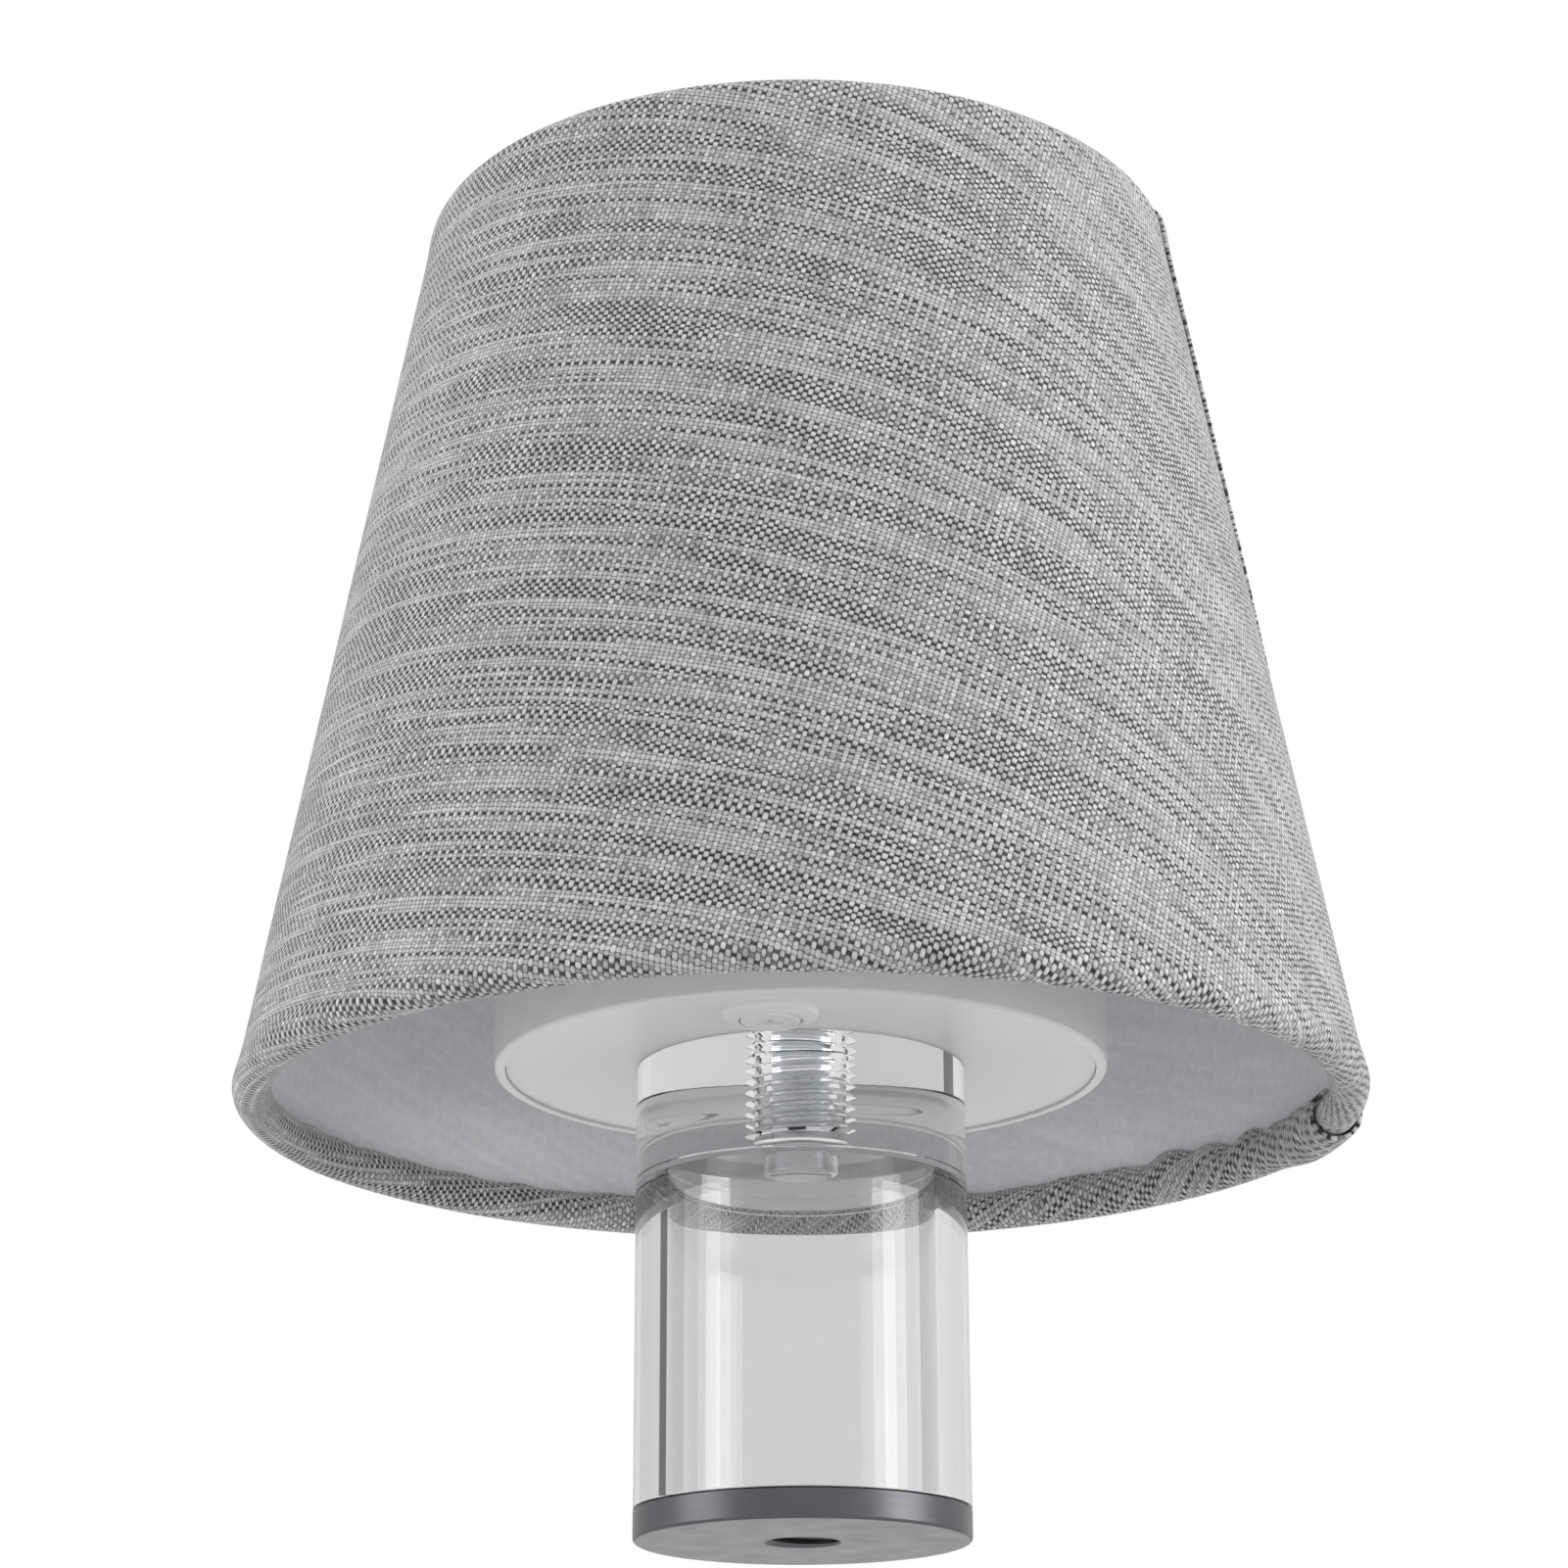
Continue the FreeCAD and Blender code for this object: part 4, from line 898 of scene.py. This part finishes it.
@dataclass
class Column:
    """Clear tube with its tapped plug cemented in one, threaded stud and the dark end cap."""

    radius: float = 22.5
    bore: float = 18.2
    foot: float = 4.0
    joint: float = 48.3
    top: float = 64.1
    gap: float = 0.03
    edge: float = 0.25
    groove: float = 0.1
    stud_low: float = 53.2
    stud_high: float = 91.4
    drill_low: float = 52.3
    drill_radius: float = 4.25
    core: float = 4.15
    crest: float = 4.93
    pitch: float = 1.5
    play: float = 0.07
    mouth: float = 5.85
    mouth_depth: float = 0.5
    drill_point: float = 0.8
    bore_edge: float = 0.06
    past: float = 0.6
    cap_boss: float = 9.0
    cap_boss_top: float = 5.8
    cap_boss_edge: float = 0.3
    cap_edge: float = 0.5
    cap_tap: float = 4.25
    cap_tap_play: float = 0.05
    cap_crest: float = 5.0
    cap_mouth: float = 6.15
    cap_mouth_depth: float = 0.9
    cutter_past: float = 1.0
    cap_tap_past: float = 0.5
    clear_steps: int = 256
    cap_steps: int = 200
    hole_steps: int = 120

    def clear_body(self) -> None:
        """The clear tube and the plug cemented on it, with the joint's fine line and the tapped hole."""
        pen = Outline(0.0, self.joint)
        pen.to(self.bore, self.joint, self.bore_edge).to(self.bore, self.foot + self.gap, self.edge)
        pen.to(self.radius, self.foot + self.gap, self.edge).to(self.radius, self.joint - self.groove)
        pen.to(self.radius - self.groove, self.joint).to(self.radius, self.joint + self.groove)
        pen.to(self.radius, self.top - self.gap, self.edge).to(0.0, self.top - self.gap)
        blank = pen.turned(self.clear_steps)
        drill = Outline(0.0, self.drill_low + self.drill_point)
        drill.to(self.drill_radius, self.drill_low).to(self.drill_radius, self.top - self.mouth_depth)
        drill.to(self.mouth, self.top + self.past).to(0.0, self.top + self.past)
        hollow = carved(blank, drill.turned(self.hole_steps))
        tap = threaded_rod(self.core + self.play, self.crest + self.play, self.pitch, self.stud_low,
                           self.top + self.cutter_past)
        piece("clear_column", carved(hollow, tap), Finishes.ACRYLIC, Body.LAMP,
              ["column_tube", "column_plug"])

    def stud(self) -> None:
        """The threaded stud, with its thread cut off flat at both ends."""
        mesh = threaded_rod(self.core, self.crest, self.pitch, self.stud_low + self.gap, self.stud_high)
        piece("threaded_stud", mesh, Finishes.ZINC, Body.LAMP, ["mounting_stud"])

    def cap(self) -> None:
        """The dark end cap, turned and tapped for whatever carries the lamp."""
        pen = Outline(0.0, 0.0)
        pen.to(self.radius, 0.0, self.cap_edge).to(self.radius, self.foot, self.edge)
        pen.to(self.cap_boss, self.foot).to(self.cap_boss, self.cap_boss_top, self.cap_boss_edge)
        pen.to(0.0, self.cap_boss_top)
        over = self.cap_boss_top + self.cutter_past
        hole = Outline(0.0, -self.cutter_past)
        hole.to(self.cap_mouth, -self.cutter_past).to(self.cap_tap, self.cap_mouth_depth)
        hole.to(self.cap_tap, over).to(0.0, over)
        blank = carved(pen.turned(self.cap_steps), hole.turned(self.hole_steps))
        tap = threaded_rod(self.core + self.cap_tap_play, self.cap_crest, self.pitch, -self.cap_tap_past,
                           self.cap_boss_top + self.cap_tap_past)
        piece("tapped_end_cap", carved(blank, tap), Finishes.DARK, Body.LAMP, ["end_cap"])

    def build(self) -> None:
        """Makes the column."""
        self.clear_body()
        self.stud()
        self.cap()
        dress(Finishes.ZINC, "lock_washer", "stud_nut")


@dataclass
class Pan:
    """White cup and plate, with two screws on round washers."""

    plate: float = 64.1
    circle: float = 31.0
    turn: float = 7.4
    washer_radius: float = 6.3
    washer: float = 0.7
    head_radius: float = 3.95
    head: float = 0.8
    shank: float = 1.5
    length: float = 9.0
    recess_half: float = 2.3
    recess_width: float = 0.95
    recess_depth: float = 1.3
    recess_slots: int = 2
    recess_taper: Triple = (0.35, 0.6, 1.0)
    head_edge: float = 0.45
    under_head_edge: float = 0.1
    tight: float = 0.02
    point_height: float = 0.6
    point_taper: float = 0.5
    play: float = 0.05
    collar_edges: Triple = (0.12, 0.2, 0.3)
    screw_steps: int = 96
    washer_steps: int = 128
    head_gap: float = 0.3
    collar: float = 0.45
    sunk: float = 0.12

    def screw(self) -> Mesh:
        """One screw, head down, at the axis.

        Returns:
            The mesh, in millimetres.
        """
        low = self.plate - self.washer
        under = low - self.tight
        end = low + self.length
        pen = Outline(0.0, low - self.head)
        pen.to(self.head_radius, low - self.head, self.head_edge)
        pen.to(self.head_radius, under, self.under_head_edge)
        pen.to(self.shank, under).to(self.shank, end - self.point_height)
        pen.to(self.shank - self.point_taper, end).to(0.0, end)
        mesh = pen.turned(self.screw_steps)
        for arm in range(self.recess_slots):
            slot = bmesh.new()
            bmesh.ops.create_cube(slot, size=1.0)
            floor = [vert for vert in slot.verts if vert.co.z > 0]
            bmesh.ops.scale(slot, verts=floor, vec=self.recess_taper)
            bmesh.ops.scale(slot, verts=slot.verts[:],
                            vec=(2 * self.recess_half, self.recess_width, 2 * self.recess_depth))
            placed(slot, 0.0, 0.0, low - self.head, 180.0 / self.recess_slots * arm)
            mesh = carved(mesh, slot)
        return mesh

    def disc(self) -> Mesh:
        """One washer at the axis, with the low collar that its screw head sits in."""
        seat = self.plate - self.washer
        face = seat - self.head + self.sunk
        inner = self.head_radius + self.head_gap
        hole = self.shank + self.play
        inner_edge, outer_edge, foot_edge = self.collar_edges
        pen = Outline(hole, seat)
        pen.to(inner, seat).to(inner, face, inner_edge).to(inner + self.collar, face, outer_edge)
        pen.to(self.washer_radius, seat, foot_edge).to(self.washer_radius, self.plate)
        pen.to(hole, self.plate).close()
        return pen.turned(self.washer_steps)

    def build(self) -> None:
        """Makes the screws and washers and finishes the sheet parts."""
        screws = []
        washers = []
        for side in (0.0, 180.0):
            angle = math.radians(90 + self.turn + side + 180)
            x = -self.circle * math.cos(angle)
            y = self.circle * math.sin(angle)
            screws.append(placed(self.screw(), x, y))
            washers.append(placed(self.disc(), x, y))
        piece("cross_recess_screws", joined(screws), Finishes.POWDER, Body.LAMP,
              ["plate_screws"])
        piece("round_washers", joined(washers), Finishes.POWDER, Body.LAMP,
              ["plate_washers"])
        dress(Finishes.POWDER, "pan_shell", "pan_plate")
        dress(Finishes.ZINC, "pan_spacer")


@dataclass
class PowerPack:
    """Cells, board, socket, switch and button inside the pan."""

    def build(self) -> None:
        """Finishes the parts inside the pan."""
        dress(Finishes.CELL, "battery_cells")
        dress(Finishes.INNER, "cell_cradles", "board_standoffs", "button_switch", "switch_plunger")
        dress(Finishes.BOARD, "control_board")
        dress(Finishes.ZINC, "board_screws", "charging_socket")
        dress(Finishes.BUTTON, "power_button")


@dataclass
class CandleLight:
    """Collar, light board, opal tube, cap, tie rod and seat washer."""

    def build(self) -> None:
        """Finishes the light's parts."""
        dress(Finishes.POWDER, "light_collar", "light_cap")
        dress(Finishes.BOARD, "led_board")
        dress(Finishes.CHIP, "led_chips")
        dress(Finishes.OPAL, "light_tube")
        dress(Finishes.ZINC, "tie_rod")
        dress(Finishes.SILICONE, "seat_washer")


@dataclass
class Shade:
    """The cone of cloth with its rolled edges, its lining and its wire frame."""

    low: float = 57.4
    high: float = 188.4
    bottom_radius: float = 77.5
    top_radius: float = 53.5
    cloth: float = 0.8
    lining: float = 0.5
    glue: float = 0.1
    bottom_roll: float = 2.4
    top_roll: float = 2.75
    bottom_hem: float = 4.8
    top_hem: float = 6.5
    seam_top: float = -14.5
    seam_bottom: float = 5.0
    overlap: float = 9.6
    seam_rise: float = 0.6
    fold_rise: float = 0.35
    weight: float = 0.55
    ease: float = 9.0
    low_swell: float = 0.6
    high_swell: float = 0.4
    swell_reach: float = 4.5
    fold_fade: float = 12.0
    held: int = 14
    top_loose: float = 0.7
    ripple: float = 0.12
    ripple_cells: float = 2.2
    ripple_climb: float = 0.03
    hem_seeds: tuple[float, float] = (1.0, 2.0)
    pucker_cells: tuple[float, float] = (6.0, 17.0)
    pucker_seed_step: float = 4.0
    pucker_depth: float = 0.4
    pucker_rest: float = 0.15
    looser: float = 1.2
    loose_side: float = 40.0
    cut_cells: tuple[float, float] = (3.0, 14.0)
    cut_seeds: tuple[float, float] = (11.0, 15.0)
    cut_slow: float = 0.4
    cut_quick: float = 0.3
    cut_quick_more: float = 1.1
    bulge: float = 1.3
    bulge_side: float = 35.0
    bulge_reach: float = 22.0
    skin: float = 1.2
    grain_turn: float = 180.0
    around: int = 420
    roll_steps: int = 22
    side_rows: int = 60
    hem_step: float = 0.8
    fewest_hem_steps: int = 4

    def __post_init__(self) -> None:
        """Works out the cone's slope, its lean and the directions along and out of it."""
        self.slope = (self.bottom_radius - self.top_radius) / (self.high - self.low)
        self.lean = math.atan(self.slope)
        self.outward = Vector((math.cos(self.lean), 0.0, math.sin(self.lean)))

    def point(self, height: float, depth: float) -> Vector:
        """A point of the section at this height, this far inside the outer face."""
        radius = self.bottom_radius - self.slope * (height - self.low) - depth / math.cos(self.lean)
        return Vector((radius, 0.0, height))

    def section(self) -> list[tuple[float, float]]:
        """The middle of the cloth, from inside the lower hem, round both edges, to inside the upper one.

        Returns:
            Radius and height of each point, in order.
        """
        middle = self.cloth / 2
        inside = self.cloth + 2 * self.glue + self.lining + middle
        halves = []
        for rim in Rim:
            way = rim.value
            roll, hem, edge = (
                (self.top_roll, self.top_hem, self.high) if rim is Rim.TOP
                else (self.bottom_roll, self.bottom_hem, self.low)
            )
            centre = self.point(edge - way * roll, roll)
            end = self.point(edge - way * hem, inside)
            reach = end - centre
            turn = math.acos((roll - middle) / reach.length)
            facing = math.atan2(reach.z, reach.x) - way * turn
            sweep = (facing - self.lean) % math.tau if way > 0 else (self.lean - facing) % math.tau
            pen = Outline(*(centre + self.outward * (roll - middle)).xz)
            pen.bend(centre, -way * math.degrees(sweep), self.roll_steps)
            points = [vert.co.xz.copy() for vert in pen.mesh.verts]
            pen.mesh.free()
            last = points[-1]
            free = Vector((end.x, end.z))
            steps = max(self.fewest_hem_steps, round((free - last).length / self.hem_step))
            points += [last.lerp(free, step / steps) for step in range(1, steps + 1)]
            halves.append(points)
        lower, upper = halves
        bottom = lower[0]
        top = upper[0]
        side = [bottom.lerp(top, row / self.side_rows) for row in range(1, self.side_rows)]
        return [(point.x, point.y) for point in lower[::-1] + side + upper]

    def lap(self, past: float, along: float) -> float:
        """How far the cloth's end stands up where it lies over its start.

        Args:
            past: Degrees from the cloth's start.
            along: Share of the way up the cone.

        Returns:
            The distance, in millimetres.
        """
        rest = clamped(1 - (past - self.overlap) / self.ease)
        low_fold = self.fold_rise * clamped(1 - self.fold_fade * along)
        return (self.seam_rise + low_fold) * rest * rest * (3 - 2 * rest)

    def swell(self, run: float, low_run: float, high_run: float) -> float:
        """How much fuller than its wire a rolled edge is.

        Args:
            run: Length along the section.
            low_run: Its value at the lowest point.
            high_run: Its value at the highest point.

        Returns:
            The distance, in millimetres.
        """
        low = math.exp(-((run - low_run) / self.swell_reach) ** 2)
        high = math.exp(-((run - high_run) / self.swell_reach) ** 2)
        return self.low_swell * low + self.high_swell * high

    def cloth_sheet(self) -> None:
        """The cut cloth, wrapped round the cone, lapped at its seam and rolled round both wires."""
        section = self.section()
        final = len(section) - 1
        runs = [0.0]
        for before, after in zip(section, section[1:]):
            runs.append(runs[-1] + math.dist(before, after))
        cone = [place for place, (radius, height) in enumerate(section)
                if self.low + self.bottom_roll < height < self.high - self.top_roll
                and radius > self.point(height, self.skin).x]
        first, last = cone[0], cone[-1]
        low_free = first - self.held
        high_free = last + self.held
        apex = section[first][0] / math.sin(self.lean)
        heights = [height for radius, height in section]
        low_run = runs[heights.index(min(heights))]
        high_run = runs[heights.index(max(heights))]
        mesh = bmesh.new()
        bmesh.ops.create_grid(mesh, x_segments=self.around, y_segments=final, size=0.5)
        flat = mesh.loops.layers.uv.new("cut")
        total = 360.0 + self.overlap
        low_seed, high_seed = self.hem_seeds
        spots = {}
        for vert in mesh.verts:
            place = round((vert.co.y + 0.5) * final)
            along = (runs[place] - runs[first]) / (runs[last] - runs[first])
            start = self.seam_bottom + (self.seam_top - self.seam_bottom) * along
            angle = start + (vert.co.x + 0.5) * total
            radius, height = section[place]
            ahead = Vector(section[min(place + 1, final)]) - Vector(section[max(place - 1, 0)])
            ahead.normalize()
            out = Vector((ahead.y, -ahead.x))
            folds = 0.0
            if place < low_free:
                end = (low_free - place) / max(low_free, 1)
                folds = end * self.pucker(angle, low_seed)
                radius -= self.slope * end * self.cut_edge(angle)
                height += end * self.cut_edge(angle)
            if place > high_free:
                end = (place - high_free) / max(final - high_free, 1)
                folds = end * self.pucker(angle, high_seed) * self.top_loose
            ripple = self.ripple * self.ring(angle, self.ripple_cells, height * self.ripple_climb)
            swell = self.swell(runs[place], low_run, high_run)
            away = self.lap(angle - start, along) + folds + ripple + swell
            radius += out.x * away
            height += out.y * away
            turn = math.radians(angle)
            vert.co = (radius * math.cos(turn), radius * math.sin(turn), height)
            reach = apex - (runs[place] - runs[first])
            sweep = math.radians(angle - self.grain_turn) * math.sin(self.lean)
            spots[vert] = (reach * math.sin(sweep) * MM, -reach * math.cos(sweep) * MM)
        for face in mesh.faces:
            for loop in face.loops:
                loop[flat].uv = spots[loop.vert]
        bmesh.ops.recalc_face_normals(mesh, faces=mesh.faces[:])
        cloth = piece("woven_cloth", mesh, Finishes.CLOTH, Body.SHADE, ["shade_cloth"])
        wall = cloth.modifiers.new("thickness", "SOLIDIFY")
        wall.thickness = self.weight * MM
        wall.offset = 0.0

    @staticmethod
    def ring(angle: float, cells: float, level: float) -> float:
        """Noise round the shade.

        Args:
            angle: The azimuth, in degrees.
            cells: How fast it changes with the azimuth.
            level: Its third coordinate, or its seed.

        Returns:
            A value from about -1 to 1.
        """
        turn = math.radians(angle)
        return noise.noise(Vector((math.cos(turn) * cells, math.sin(turn) * cells, level)))

    def pucker(self, angle: float, seed: float) -> float:
        """How far the free edge of a hem stands off the lining at an azimuth, in millimetres."""
        wide, fine = self.pucker_cells
        waves = (self.pucker_depth * self.ring(angle, wide, seed)
                 + self.pucker_depth * self.ring(angle, fine, seed + self.pucker_seed_step))
        facing = math.cos(math.radians(angle) - math.radians(self.loose_side))
        loose = 1.0 + self.looser * max(0.0, facing)
        return max(0.0, self.pucker_rest + loose * waves)

    def cut_edge(self, angle: float) -> float:
        """How much above its mean the lower hem's inner edge was cut at an azimuth, in millimetres."""
        slow, quick = (self.ring(angle, cells, seed) for cells, seed in zip(self.cut_cells, self.cut_seeds))
        loose = math.exp(-((angle - self.bulge_side) / self.bulge_reach) ** 2)
        notches = self.cut_quick + self.cut_quick_more * loose
        return self.bulge * loose + self.cut_slow * slow + notches * quick

    def build(self) -> None:
        """Makes the cloth and finishes the frame and the lining."""
        self.cloth_sheet()
        dress(Finishes.LINING, "shade_liner")
        dress(Finishes.ENAMEL, "spider_hub", "spider_arms", "top_ring", "bottom_ring")


def main() -> None:
    """Builds the camera, the studio and the lamp's assemblies in order."""
    logging.basicConfig(level=logging.INFO, format="%(name)s %(message)s")
    StudioCamera().build()
    for assembly in (Studio(), Column(), Pan(), PowerPack(), CandleLight(), Shade()):
        assembly.build()
        log.info("%s built", type(assembly).__name__)


if __name__ == "__main__":
    main()
